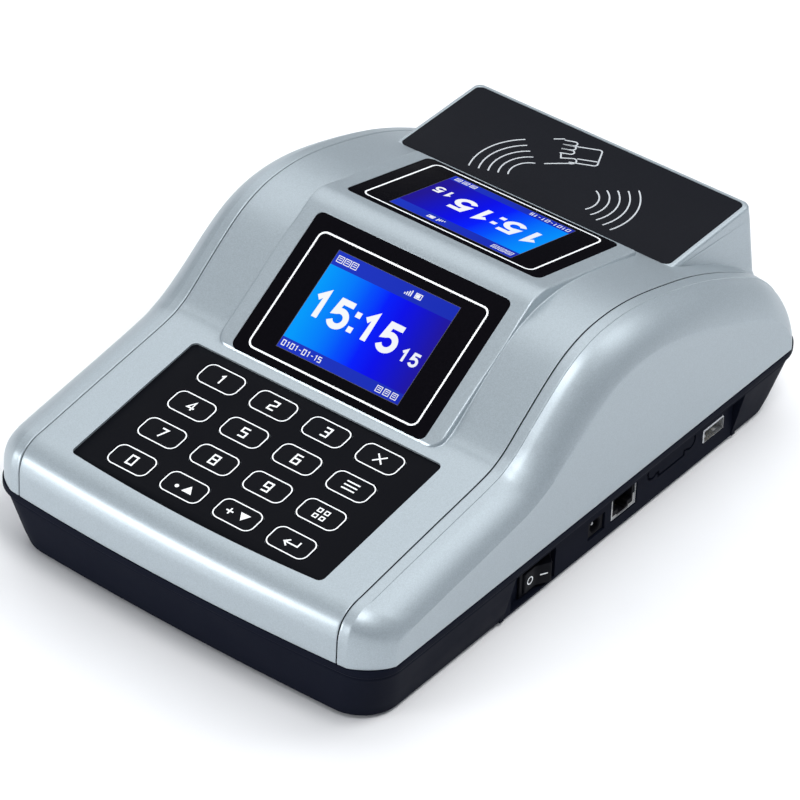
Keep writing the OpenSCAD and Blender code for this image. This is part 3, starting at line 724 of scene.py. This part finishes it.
def ring_on(plane, size, r, grow, d, n=8, bow=0.0, centre=(0, 0)):
    """Rounded rectangle on a sloped plane at height d, grown outward."""
    w, l = size
    return [on_plane(plane, u + centre[0], v + centre[1], d)
            for u, v in slab(w + 2 * grow, l + 2 * grow, r + grow, bow, n)]


def recess(plane, size, r, depth, chamfer, bow=0.0):
    """Cutter for a sunk panel with a chamfered edge."""
    steps = ((0, -depth), (0, -chamfer), (chamfer * 2.2, chamfer * 1.2), (chamfer * 2.2, 9))
    return Shape().loft([ring_on(plane, size, r, grow, d, bow=bow) for grow, d in steps])


def window_recess(plane, size):
    w, l = size
    return recess(plane, (w + 2 * WINDOW_GAP, l + 2 * WINDOW_GAP), 3, 1.6, 0.12)


def opening(plane, size, centre=(0, 0), r=1.0, reach=(-40, 12)):
    return [ring_on(plane, size, r, 0, d, centre=centre) for d in reach]


def cover_cutters():
    keypad = recess(KEY_PLANE, (123, 76.4), 4.5, 1.0, -0.85, 2.5)
    key_holes = Shape()
    for k in range(16):
        key_holes.loft(opening(KEY_PLANE, (8, 8), key_at(k), 2, (-9, 3)))
    lcds = Shape().loft(opening(FRONT_PLANE, (71.4, 52), (0, -1.4)))
    lcds.loft(opening(REAR_PLANE, (71.4, 46.4)))
    windows = [window_recess(*where) for where in (FRONT_PANEL, REAR_PANEL, READER_PANEL)]
    return [keypad, key_holes, *windows, lcds]


BLOCK_TOP = (134.4, 57, 4)
BLOCK_FOOT = (143, 61, 6)
BLOCK_FOOT_Z = 52
BLOCK_EDGE = 2.0
FLARE = 3.2


def block_point(k, z, grow=0.0, count=12):
    """Point k of the reading block's outline at a height."""
    t = (READER_PLANE[1] - z) / (READER_PLANE[1] - BLOCK_FOOT_Z)
    w, l, r = (a + (b - a) * t for a, b in zip(BLOCK_TOP, BLOCK_FOOT))
    x, y = slab(w + 2 * grow, l + 2 * grow, max(r + grow, 0.5), n=count)[k]
    return x, y + READER_PLANE[0]


def reading_block():
    """Raised block under the reading panel: rounded top edge and a hollow flare down to the cover."""
    count = len(slab(10, 10, 1, n=12))
    tilt = math.tan(math.radians(READER_PLANE[2]))

    def top_z(y):
        return READER_PLANE[1] + 0.08 + (y - READER_PLANE[0]) * tilt

    columns = []
    for k in range(count):
        column = []
        for c, s in map(cos_sin, range(0, 91, 15)):
            x, y = block_point(k, READER_PLANE[1], BLOCK_EDGE * (s - 1))
            column.append((x, y, top_z(y) - BLOCK_EDGE * (1 - c)))
        low = solve(lambda z: z - cover_z(block_point(k, z)[1]), 30, 90)  # where it meets the cover
        start = column[-1][2]
        flare = min(FLARE, max(start - low, 0) * 0.5)
        for t in (0.15, 0.3, 0.5, 0.7, 0.85, 1.0):
            z = start + (low + flare - start) * t
            x, y = block_point(k, z)
            column.append((x, y, z))
        x1, y1 = block_point(k, low)
        gx, gy = block_point(k, low, 1.0)
        ox, oy = gx - x1, gy - y1
        for c, s in map(cos_sin, (12, 25, 40, 55, 70, 90)):
            y = y1 + oy * flare * (1 - c)
            column.append((x1 + ox * flare * (1 - c), y, cover_z(y) + flare * (1 - s) - 0.01))
        column.append((x1 + ox * flare, y1 + oy * flare, column[-1][2] - 1.2))
        column.append((x1 * 0.96, READER_PLANE[0] + (y1 - READER_PLANE[0]) * 0.9, column[-1][2] - 1.2))
        columns.append(column)
    rings = [[c[j] for c in columns] for j in range(len(columns[0]))]
    obj = build("reading_block", Shape().loft(rings[::-1]), "silver_paint")
    carve(obj, [window_recess(*READER_PANEL)], sharp=28)


def shoulder(a):
    """Share across and share down of the shoulder arc at slope a."""
    (c0, s0), (c1, s1), (c, s) = (cos_sin(v) for v in (*ARC, a))
    return (s - s0) / (s1 - s0), (c0 - c) / (c0 - c1)


CREASE_STEP = 0.3


def cheek(sign, name):
    level = PARTING + EDGE_R
    steps = 300
    # across the cheek: x, share of the way down to the shoulder line, drop below the surface
    rounded = ((0, 2.6), (0, 0.55), (0.04, 0.36), (0.14, 0.18), (0.3, 0.06), (0.55, 0))
    columns = [(CHEEK_X + g, 0, drop) for g, drop in rounded]
    width = CREASE_X - CHEEK_X
    columns += [(x, 0.03 * (x - CHEEK_X) / width, 0) for x in (77.2, 78.4, 79.4, CREASE_X - 0.3)]
    columns += [(CREASE_X - 0.1, 0.031, 0.03), (CREASE_X + 0.06, 0.035, CREASE_STEP)]
    for j in range(1, 19):
        across, down = shoulder(ARC[0] + (ARC[1] - ARC[0]) * j / 18)
        columns.append((CREASE_X + (SHOULDER_X - CREASE_X) * across, 0.035 + 0.965 * down,
                        CREASE_STEP * max(1 - j / 3.0, 0.0)))
    rows = [[] for _ in range(steps + 1)]
    for x, f, drop in columns:
        i0, i1 = ends_at(level, f)
        for j in range(steps + 1):
            i = i0 + (i1 - i0) * j / steps
            p = between(i, f)
            fade = smooth_step((i - 3.2) / 3) if x > CREASE_X - 0.2 else 1.0
            p = p + drop * fade * inward(i)
            rows[j].append((sign * x, p[0], max(p[1], PARTING)))
    for row in rows:
        x, y, z = row[-1]
        for t in (0.06, 0.2, 0.4, 0.6, 0.8, 0.95, 1.0):
            row.append((x + sign * 0.1 * t, y, z + (level - z) * t))
    s = Shape().grid(rows, flip=sign < 0)
    loop = rows[0][1:] + [row[-1] for row in rows[1:-1]] + rows[-1][:0:-1]
    clean = [loop[0]]
    for p in loop[1:]:
        if math.dist(p, clean[-1]) > 0.05:
            clean.append(p)
    lips = [clean]
    for d, h in LIP:
        ring = []
        for k, p in enumerate(clean):
            a, b = clean[max(k - 1, 0)], clean[min(k + 1, len(clean) - 1)]
            t = Vector((b[0] - a[0], b[1] - a[1])).normalized()
            ring.append((p[0] - sign * t.y * d, p[1] + sign * t.x * d, PARTING + h))
        lips.append(ring)
    s.grid(lips, flip=sign > 0)
    build(name + "_skin", s, "silver_paint", replaces=name, sharp=26)


# ---- Keypad ----
KEYS = ["key_" + k for k in
        "1 2 3 cancel 4 5 6 menu 7 8 9 function 0 dot_up plus_down enter".split()]
KEY_SIZE = (19.6, 11.5, 3.8)
PITCH = (25.3, 17.4)


def key_at(k):
    return ((k % 4) - 1.5) * PITCH[0] - 0.3, (1.5 - k // 4) * PITCH[1] + 0.2


def keypad_overlay():
    w, l, _ = KEY_SIZE
    holes = [moved(slab(w + 0.4, l + 0.4, 4), key_at(k)) for k in range(16)]
    place = facing(KEY_PLANE)

    def border(g):
        return slab(122.6 + 2 * g, 76 + 2 * g, 4.3 + g, 2.5)

    s = Shape()
    s.patch([border(-0.25)] + holes, place, 0)
    s.patch([border(0)] + holes, place, -1)
    steps = ((0, -1), (0, -0.25), (-0.08, -0.08), (-0.25, 0))
    s.grid([[place(u, v, d) for u, v in border(g)] for g, d in steps], closed=True)
    for hole in holes:
        s.grid([[place(u, v, d) for u, v in hole] for d in (-1, 0)], closed=True)
    build("keypad_film", s, "keypad_film", replaces="keypad_overlay")


# Digits as strokes in a box 1 high and W wide; a stroke that ends where it began is closed
W = 0.62
ROUND = [(0, 0), (W, 0), (W, 1), (0, 1), (0, 0)]
DIGITS = {
    "0": [ROUND],
    "1": [[(0.14, 0.82), (0.36, 1), (0.36, 0)]],
    "2": [[(0, 1), (W, 1), (W, 0.56), (0, 0.4), (0, 0), (W, 0)]],
    "3": [[(0, 1), (W, 1), (W, 0), (0, 0)], [(0.12, 0.52), (W, 0.52)]],
    "4": [[(W * 0.72, 0), (W * 0.72, 1), (-0.02, 0.28), (W + 0.06, 0.28)]],
    "5": [[(W, 1), (0, 1), (0, 0.55), (W, 0.55), (W, 0), (0, 0)]],
    "6": [[(W, 1), (0, 1), (0, 0), (W, 0), (W, 0.55), (0, 0.55)]],
    "7": [[(0, 1), (W, 1), (W * 0.28, 0)]],
    "8": [ROUND, [(0, 0.52), (W, 0.52)]],
    "9": [[(0, 0), (W, 0), (W, 1), (0, 1), (0, 0.46), (W, 0.46)]],
    "-": [[(0.1, 0.5), (W - 0.1, 0.5)]]}


def digit(s, mark, char, centre, height, width, place, d):
    for line in DIGITS[char]:
        closed = line[0] == line[-1]
        pts = [(centre[0] + (x - W / 2) * height, centre[1] + (y - 0.5) * height) for x, y in line]
        s.stroke(pts[:-1] if closed else pts, width, place, *d, closed, mark)


# Strokes of the other signs, in mm from the middle of their key
SIGNS = {
    "cancel": [[(-2.1, -2.1), (2.1, 2.1)], [(-2.1, 2.1), (2.1, -2.1)]],
    "menu": [[(-3, y), (3, y)] for y in (-1.9, 0, 1.9)],
    "plus_down": [[(-5.2, 0), (-2.0, 0)], [(-3.6, -1.6), (-3.6, 1.6)]],
    "enter": [[(3.2, 1.9), (3.2, -0.6), (-2.6, -0.6)], [(-0.9, 1.1), (-2.8, -0.6), (-0.9, -2.3)]]}


def key_mark(s, name, at, place):
    """White marks on one key."""
    d = (-0.02, 0.05)

    def line(points, closed=False, width=0.62):
        s.stroke(moved(points, at), width, place, *d, closed, 1)

    def triangle(x, y, up, size=2.3):
        pts = [(-size, -size * 0.75 * up), (size, -size * 0.75 * up), (0, size * 0.9 * up)]
        s.patch([moved(moved(pts, (x, y)), at)], place, d[1], 1)

    symbol = name[4:]
    if symbol in DIGITS:
        digit(s, 1, symbol, at, 4.5, 0.72, place, d)
    for points in SIGNS.get(symbol, ()):
        line(points)
    if symbol == "function":
        for x in (-1.6, 1.6):
            for y in (-1.6, 1.6):
                line(rectangle(x, y, 0.85, 0.85), True, 0.5)
    elif symbol == "dot_up":
        line(arc(-2.9, -0.9, 0.42, 0, 330, 11), True, 0.86)
        triangle(2.2, -0.2, 1)
    elif symbol == "plus_down":
        triangle(2.6, 0.2, -1)


def keys():
    place = facing(KEY_PLANE)
    w, l, r = KEY_SIZE
    rise = ((-0.1, -0.45), (0, -0.35), (0, -0.2), (-0.05, -0.1), (-0.2, -0.03), (-0.5, 0.0), (-2.5, 0.015))
    for k, name in enumerate(KEYS):
        at = key_at(k)
        s = Shape().loft([[place(u, v, d) for u, v in circle(at, 2.5, 24)] for d in (-2.4, -0.44)])
        s.loft([ring_on(KEY_PLANE, (w, l), r, g, d, n=10, centre=at) for g, d in rise])
        rim = slab(w - 1.35, l - 0.95, r - 0.5, n=10)
        s.stroke(moved(rim, at), 0.48, place, -0.05, 0.04, True, 1)
        key_mark(s, name, at, place)
        build(name + "_pad", s, "key_film", [KEY, INK], body=name + "_body", replaces=name, weld=False)


# ---- Windows and pictures ----
def panel(name, where, slot, node):
    """Thin sunk plate with a rounded edge."""
    steps = ((0, -1.5), (0, -0.25), (-0.03, -0.12), (-0.1, -0.04), (-0.25, 0))
    s = Shape().loft([ring_on(*where, 2.9, g, d, n=10) for g, d in steps])
    build(name, s, slot, replaces=node)


# Clock digits as strokes in a box 1 high
BIG_FIVE = [(0.92, 1), (0.24, 1), (0.16, 0.56)]
BIG_FIVE += [(0.48 + 0.40 * c, 0.33 + 0.31 * s) for c, s in map(cos_sin, range(126, -156, -14))]
BIG_ONE = [(0.10, 0.74), (0.46, 1.0), (0.46, 0)]


LCD_HALF = 28.9
HEAD_BAR = 6.2
TAIL_BAR = 4.6
PRINT = (-0.03, 0.04)  # foot and top of a printed line
LIT_D = (0.03, 0.06)  # foot and top of a sign on a lit picture


def picture(name, plane, turn, lcd_v, border_v):
    """White frame line, lit picture, clock and small marks of one window."""
    place = facing(plane, turn)
    s = Shape()
    mid = (border_v[0] + border_v[1]) / 2
    frame_line = moved(slab(80.2, border_v[0] - border_v[1], 3), (0, mid))
    s.stroke(frame_line, 0.75, place, -0.03, 0.03, True, 3)
    half = LCD_HALF
    top, bottom = lcd_v
    s.stroke([(-half, bottom), (half, bottom), (half, top), (-half, top)], 0.45, place, -0.02, 0.02, True, 4)

    def field(u0, u1, v0, v1, d, mark):
        s.patch([[(u0, v0), (u1, v0), (u1, v1), (u0, v1)]], place, d, mark)

    field(-half, half, bottom + TAIL_BAR, top - HEAD_BAR, 0.03, 0)
    field(-half, half, top - HEAD_BAR, top, 0.03, 1)
    field(-half, half, bottom, bottom + TAIL_BAR, 0.03, 1)

    def clock_digit(shape, u, v, height, width):
        s.stroke([(u + (x - 0.45) * height * 0.78, v + (y - 0.5) * height) for x, y in shape], width, place,
                 *LIT_D, False, 2)

    for shape, u in ((BIG_ONE, -22.4), (BIG_FIVE, -13.3), (BIG_ONE, 0.9), (BIG_FIVE, 10.2)):
        clock_digit(shape, u, -1.9, 10.6, 2.5)
    for v in (-5.6, 1.0):
        field(-7.3, -4.9, v - 1.2, v + 1.2, LIT_D[1], 2)
    for shape, u in ((BIG_ONE, 19.9), (BIG_FIVE, 24.4)):
        clock_digit(shape, u, -5.4, 4.9, 1.15)
    head, tail = top - HEAD_BAR / 2, bottom + TAIL_BAR / 2
    for u in (-26.2, -22.8, -19.4):
        mark_block(s, place, u, head, 2.6)
    for char, u in zip("0101-01-15", (-27, -25, -23, -21, -19.2, -17.2, -15.2, -13.4, -11.6, -9.8)):
        digit(s, 2, char, (u, tail), 2.1, 0.35, place, LIT_D)
    for u in (18.6, 22.2, 25.8):
        mark_block(s, place, u, tail, 2.4)
    for j, h in enumerate((0.8, 1.4, 2.0, 2.6)):
        field(5.0 + j * 0.9, 5.5 + j * 0.9, head - 1.3, head - 1.3 + h, LIT_D[1], 2)
    s.stroke(rectangle(11.2, head, 1.4, 1), 0.35, place, *LIT_D, True, 2)
    field(10.1, 11.9, head - 0.7, head + 0.7, LIT_D[1], 2)
    build(name, s, "black_window", [LCD[turn], BAR, LIT, INK, SCREEN_EDGE], weld=False)


def mark_block(s, place, u, v, size):
    """Small made-up sign: a frame with two bars, standing for a word."""
    h = size / 2
    s.stroke(rectangle(u, v, h, h), 0.3, place, *LIT_D, True, 2)
    for dv in (-h * 0.25, h * 0.4):
        s.stroke([(u - h * 0.6, v + dv), (u + h * 0.6, v + dv)], 0.3, place, *LIT_D, False, 2)


def reader_marks():
    """Radio arcs to both sides and an open hand that offers a card."""
    place = facing(READER_PLANE, -1)
    s = Shape()
    for sign in (-1, 1):
        for r in (8.7, 12.7, 16.7, 20.7, 24.8):
            k = (24.8 - r) / 16.1
            sweep = np.radians(np.linspace(157 - 9 * k, 229 + 18 * k * k, 20))
            pts = [(sign * (r * math.cos(a) - 11.4), 11.5 + r * math.sin(a)) for a in sweep]
            s.stroke(pts, 0.62, place, *PRINT)

    # A fare card on edge, held between a thumb and four fingers that come in from the side
    turn = Matrix.Rotation(math.radians(24), 2)

    def line(points, closed=False):
        s.stroke([turn @ Vector(p) + Vector((3.0, -11.5)) for p in points], 0.62, place, *PRINT, closed)

    line(arc(-5.6, 3.2, 1.4, 90, 180, 6) + arc(-5.6, -5.2, 1.4, 180, 270, 6) + [(6.5, -6.6)])
    line([(-5.6, 4.6), (4.4, 4.6)])
    line([(-7.0, 1.6), (1.6, 1.6)])
    line([(13.5, 8.2), (8.2, 6.6)] + arc(3.4, 3.6, 1.9, 75, 255, 12) + [(8.0, 2.6), (8.6, -0.6)])
    for v in (-1.2, -4.2, -7.2):
        line([(9.2, v + 0.4)] + arc(5.0, v - 1.0, 1.4, 90, 270, 10) + [(9.2, v - 2.6)])
    line([(9.2, -10.6), (13.5, -9.4)])
    build("reader_marks", s, "reader_film", [GREY_INK], weld=False)


# ---- Ports, switch, feet and screws ----
def dc_jack():
    face = PORT_X - 0.8
    s = Shape().box((73, face), span(DC[0], 5.2), (PCB_TOP + 0.05, DC[1] + 3.6), 0.3)
    obj = build("power_inlet", s, "chip_plastic", replaces="dc_jack")
    carve(obj, [Shape().lathe_x(DC, [(3.0, 76), (3.0, face - 0.4), (3.5, face + 0.2)])])
    pin = Shape().lathe_x(DC, [(0.95, 75.5), (0.95, 84.4), (0.6, 84.9)])
    pin.lathe_x((DC[0], DC[1] + 2.55), [(0.4, 76), (0.4, 83)])
    build("power_inlet_pin", pin, "plated_steel")


def rj45_jack():
    face = PORT_X - 0.3
    y, z = NET
    z0, z1 = PCB_TOP + 0.05, z + 6.1
    s = Shape().box((65.4, face), span(y, 8), (z0, z1), 0.25)
    obj = build("network_jack", s, "plated_steel", replaces="rj45_jack")
    carve(obj, [Shape().box((66.2, 90), span(y, 7.5), (z0 + 0.5, z1 - 0.5))])
    s = Shape().box((66.3, face - 0.5), span(y, 7.45), (z0 + 0.55, z1 - 0.55), 0.1)
    insert = build("network_jack_insert", s, "chip_plastic")
    # the plug's room, and the two steps of the slot for its latch
    room = ((68, 5.9, 3.4, 3.6), (71, 3.1, 5.2, -3.3), (74, 1.6, 5.9, -5.1))
    carve(insert, [Shape().box((x, 90), span(y, half), span(z, *v)) for x, half, *v in room])
    pins = Shape()
    for k in range(8):
        a, b = span(y + (k - 3.5) * 1.02, 0.2)
        pins.loft([[(x, a, h), (x, b, h), (x, b, h + 0.3), (x, a, h + 0.3)][::-1]
                   for x, h in ((67.9, z - 1.0), (76, z + 1.2), (82, z + 2.9))])
    build("network_jack_pins", pins, "plated_steel", [GOLD])
    # an L of bright metal in each lower corner, folded in from the shell
    springs = Shape()
    for way in (-1, 1):
        corner = [(-7.45, -1.6), (-7.45, -6.1), (-3.9, -6.1), (-3.9, -5.5), (-6.7, -5.5), (-6.7, -1.6)]
        ring = [(y + way * u, max(z + v, z0 + 0.5)) for u, v in corner]
        springs.loft([[(x, u, v) for u, v in ring] for x in (face - 1.4, face - 0.35)])
    build("network_jack_springs", springs, "plated_steel", [SPRING])


def usb_socket():
    y, z = USB
    s = Shape().box((73, PORT_X + 0.2), span(y, 6.9), span(z, 3.1), 0.3)
    obj = build("usb_shell", s, "plated_steel", replaces="usb_socket")
    carve(obj, [Shape().box((75, 90), span(y, 6.45), span(z, 2.7))])
    inside = Shape()
    inside.box((74, PORT_X - 1), span(y, 5.6), (z + 0.5, z + 2.4), 0.2)
    inside.box((74.5, 75.2), span(y, 6.4), span(z, 2.65))
    for k in range(4):
        inside.box((76, PORT_X - 1.6), span(y + (k - 1.5) * 2.3, 0.5), (z + 0.38, z + 0.56), mark=1)
    build("usb_inside", inside, "chip_plastic", [TONGUE, GOLD])
    springs = Shape()
    for way in (-1, 1):
        springs.box((74, 78), span(y + 5 * way, 0.6), (PCB_TOP + 0.05, z - 3))
        springs.box((PORT_X - 5, PORT_X - 1.5), span(y + 3.2 * way, 0.9), (z - 2.72, z - 2.5), 0.08)
    build("usb_springs", springs, "plated_steel", [SPRING])


ROCKER_SWING = 27
HALF_L = 6.7  # from the middle of the dished face to either end
V_X = 4.1  # the dish's middle, in front of the axle
ROCKER_H = 9.2
AXLE_R = 1.1
half_cos, half_sin = cos_sin(ROCKER_SWING / 2)
TIP = (V_X + HALF_L * half_sin, HALF_L * half_cos)
END_R = math.hypot(*TIP)
BODY_L = END_R + 0.6


def rocker_place(x, y, z):
    """From the rocker's own middle position to its place at rest, switched off."""
    c, s = cos_sin(-ROCKER_SWING / 2)
    return SWITCH_C[0] + x * c - y * s, SWITCH_C[1] + x * s + y * c, SWITCH_C[2] + z


def power_rocker():
    reach = math.degrees(math.atan2(TIP[1], TIP[0]))
    half = [(V_X, 0), (V_X + 0.05, 0.9)]
    half += [(V_X + (TIP[0] - V_X) * t, TIP[1] * t) for t in (0.3, 0.6, 0.85, 0.96)]
    half += arc(0, 0, END_R, reach + 1.2, 84, 10) + [(-1, 5.6), (-3, 4.4)]
    profile = half + [(x, -y) for x, y in half[:0:-1]]
    hh = ROCKER_H / 2

    def ring(g, z):
        mid = 1.2
        return [rocker_place(mid + (x - mid) * (1 - g / 5.5), y * (1 - g / 8), z) for x, y in profile]

    rise = ((0.35, 0), (0.1, 0.1), (0, 0.35))
    s = Shape().loft([ring(g, h - hh) for g, h in rise] + [ring(g, hh - h) for g, h in rise[::-1]])
    s.loft([[rocker_place(x, y, z) for x, y in circle((0, 0), AXLE_R, 24)] for z in (-hh - 0.9, hh + 0.9)])
    along = Vector((TIP[0] - V_X, TIP[1])).normalized()

    def on_half(way):
        def place(u, v, d):
            x = V_X + along.x * v + along.y * d
            y = along.y * v - along.x * d
            return rocker_place(x, way * y, u)
        return place

    sign_at = HALF_L * 0.52
    s.stroke(arc(0, sign_at, 1.55, 0, 345, 23), 0.5, on_half(-1), *PRINT, True, 1)
    s.stroke([(0, sign_at - 1.6), (0, sign_at + 1.6)], 0.55, on_half(1), *PRINT, False, 1)
    build("rocker", s, "switch_plastic", [SWITCH, INK], body="rocker", replaces="power_rocker", weld=False)


def switch_housing():
    x, y, z = SWITCH_C
    x0 = POCKET[2] + 0.05
    s = Shape().box((x0, mm_box("switch_housing")[1].x), span(y, 10, 9.95), span(z, 6.4), 0.3)
    obj = build("switch_frame", s, "switch_plastic", replaces="switch_housing")
    body = Shape().box((x - 14, x0 + 0.5), span(y, BODY_L), span(z, 5.4))
    well = Shape().lathe((x, y), [(END_R + 0.2, h) for h in span(z, ROCKER_H / 2 + 0.25)], n=96)
    axle = Shape().lathe((x, y), [(AXLE_R + 0.05, h) for h in span(z, 5.6)], n=24)
    carve(obj, [well, axle], joins=[body])


def rubber_feet():
    s = Shape()
    for at in FEET:
        s.lathe(at, [(4.2, 0.35), (4.6, 0.0), (5.5, 0.0), (5.85, 0.12), (6.0, 0.45), (6.0, 2.5)], n=48)
    build("feet", s, "rubber", replaces="rubber_feet")


def base_screws():
    s = Shape()
    z0, z1 = FOOT_H + 1, FOOT_H + 3
    for at in SCREWS:
        s.lathe(at, [(1.9, z0), (2.5, z0 + 0.25), (2.8, z0 + 0.7), (2.8, z1), (1.25, z1 + 0.01),
                     (1.25, PARTING + 10)])
    obj = build("case_screws", s, "plated_steel", replaces="base_screws")
    cross = Shape()
    for x, y in SCREWS:
        arm = [(1.5, -0.3), (1.5, 0.3), (0.3, 0.3)]
        pts = arm + [(-v, u) for u, v in arm] + [(-u, -v) for u, v in arm] + [(v, -u) for u, v in arm]
        steps = ((1, -1), (1, 0.2), (0.5, 1.1))
        cross.loft([[(x + u * k, y + v * k, z0 + h) for u, v in pts] for k, h in steps])
    carve(obj, [cross])


# ---- Studio ----
def studio():
    steps = range(-6000, 6001, 1200)
    mesh = mesh_of("floor", Shape().grid([[(x, y, -0.3) for x in steps] for y in steps]))
    floor = add_object("floor", mesh)
    mesh.materials.append(finish_of("floor_paper", (0.92, 0.92, 0.93, 1), 0.9, 0.1, 0.02, 0.01, 0.0, 0.02))
    n = Nodes("studio", world=True)
    split = n.add("ShaderNodeSeparateXYZ", Vector=n.where)
    ramp = n.add("ShaderNodeValToRGB", Fac=split.outputs["Z"])
    n.put("Color", ramp.outputs["Color"])
    bpy.context.scene.world = n.data
    fill_ramp(ramp, ((0.0, (0.045, 0.062, 0.09, 1)), (0.35, (0.19, 0.225, 0.27, 1)),
                     (0.9, (0.50, 0.52, 0.54, 1))))
    lamp("low_front", (-0.86, -1.55, 0.28), 0.8, 19)
    lamp("main", (0.74, -0.36, 1.72), 0.8, 16)
    lamp("top", (-0.5, 0.9, 2.0), 2.6, 20)
    lamp("right_rear", (1.0, 1.1, 1.35), 1.0, 9)
    lamp("left", (-1.5, 0.95, 0.6), 1.0, 3)


def aim(obj, at, back, roll=0.0):
    """Places a lamp or camera that looks against the direction back."""
    obj.location = at
    obj.rotation_mode = "QUATERNION"
    obj.rotation_quaternion = (-back).to_track_quat("-Z", "Y") @ Quaternion((0, 0, 1), roll)


def lamp(name, at, size, power):
    """Round soft lamp, in metres and watts, turned to the middle of the part."""
    data = bpy.data.lights.new(name, "AREA")
    data.shape, data.size, data.energy = "DISK", size, power
    aim(add_object(name, data), at, Vector(at) - Vector((0, 0, 0.05)))


def camera():
    data = bpy.data.cameras.new("view")
    data.sensor_width = 36
    data.lens = 211.549
    data.clip_start, data.clip_end = 0.05, 100
    obj = add_object("view", data)
    (ca, sa), (ce, se) = cos_sin(36.665), cos_sin(36.79)
    back = Vector((sa * ce, -ca * ce, se))
    aim(obj, Vector((20.59, -30.72, 60.96)) * MM + back * 1.76302, back, math.radians(2.166))
    bpy.context.scene.camera = obj
    bpy.context.scene.view_settings.view_transform = "Standard"


dress_inner_nodes()
tray()
centre_cover()
reading_block()
cheek(1, "right_cheek")
cheek(-1, "left_cheek")
keypad_overlay()
keys()
panel("front_glass", FRONT_PANEL, "black_window", "front_window")
panel("rear_glass", REAR_PANEL, "black_window", "rear_window")
panel("reader_film", READER_PANEL, "reader_film", "reader_panel")
picture("front_picture", FRONT_PLANE, 1, (20.7, -23.5), (25.0, -28.3))
picture("rear_picture", REAR_PLANE, -1, (21.5, -22.0), (24.2, -24.8))
reader_marks()
dc_jack()
rj45_jack()
usb_socket()
switch_housing()
power_rocker()
rubber_feet()
base_screws()
studio()
camera()
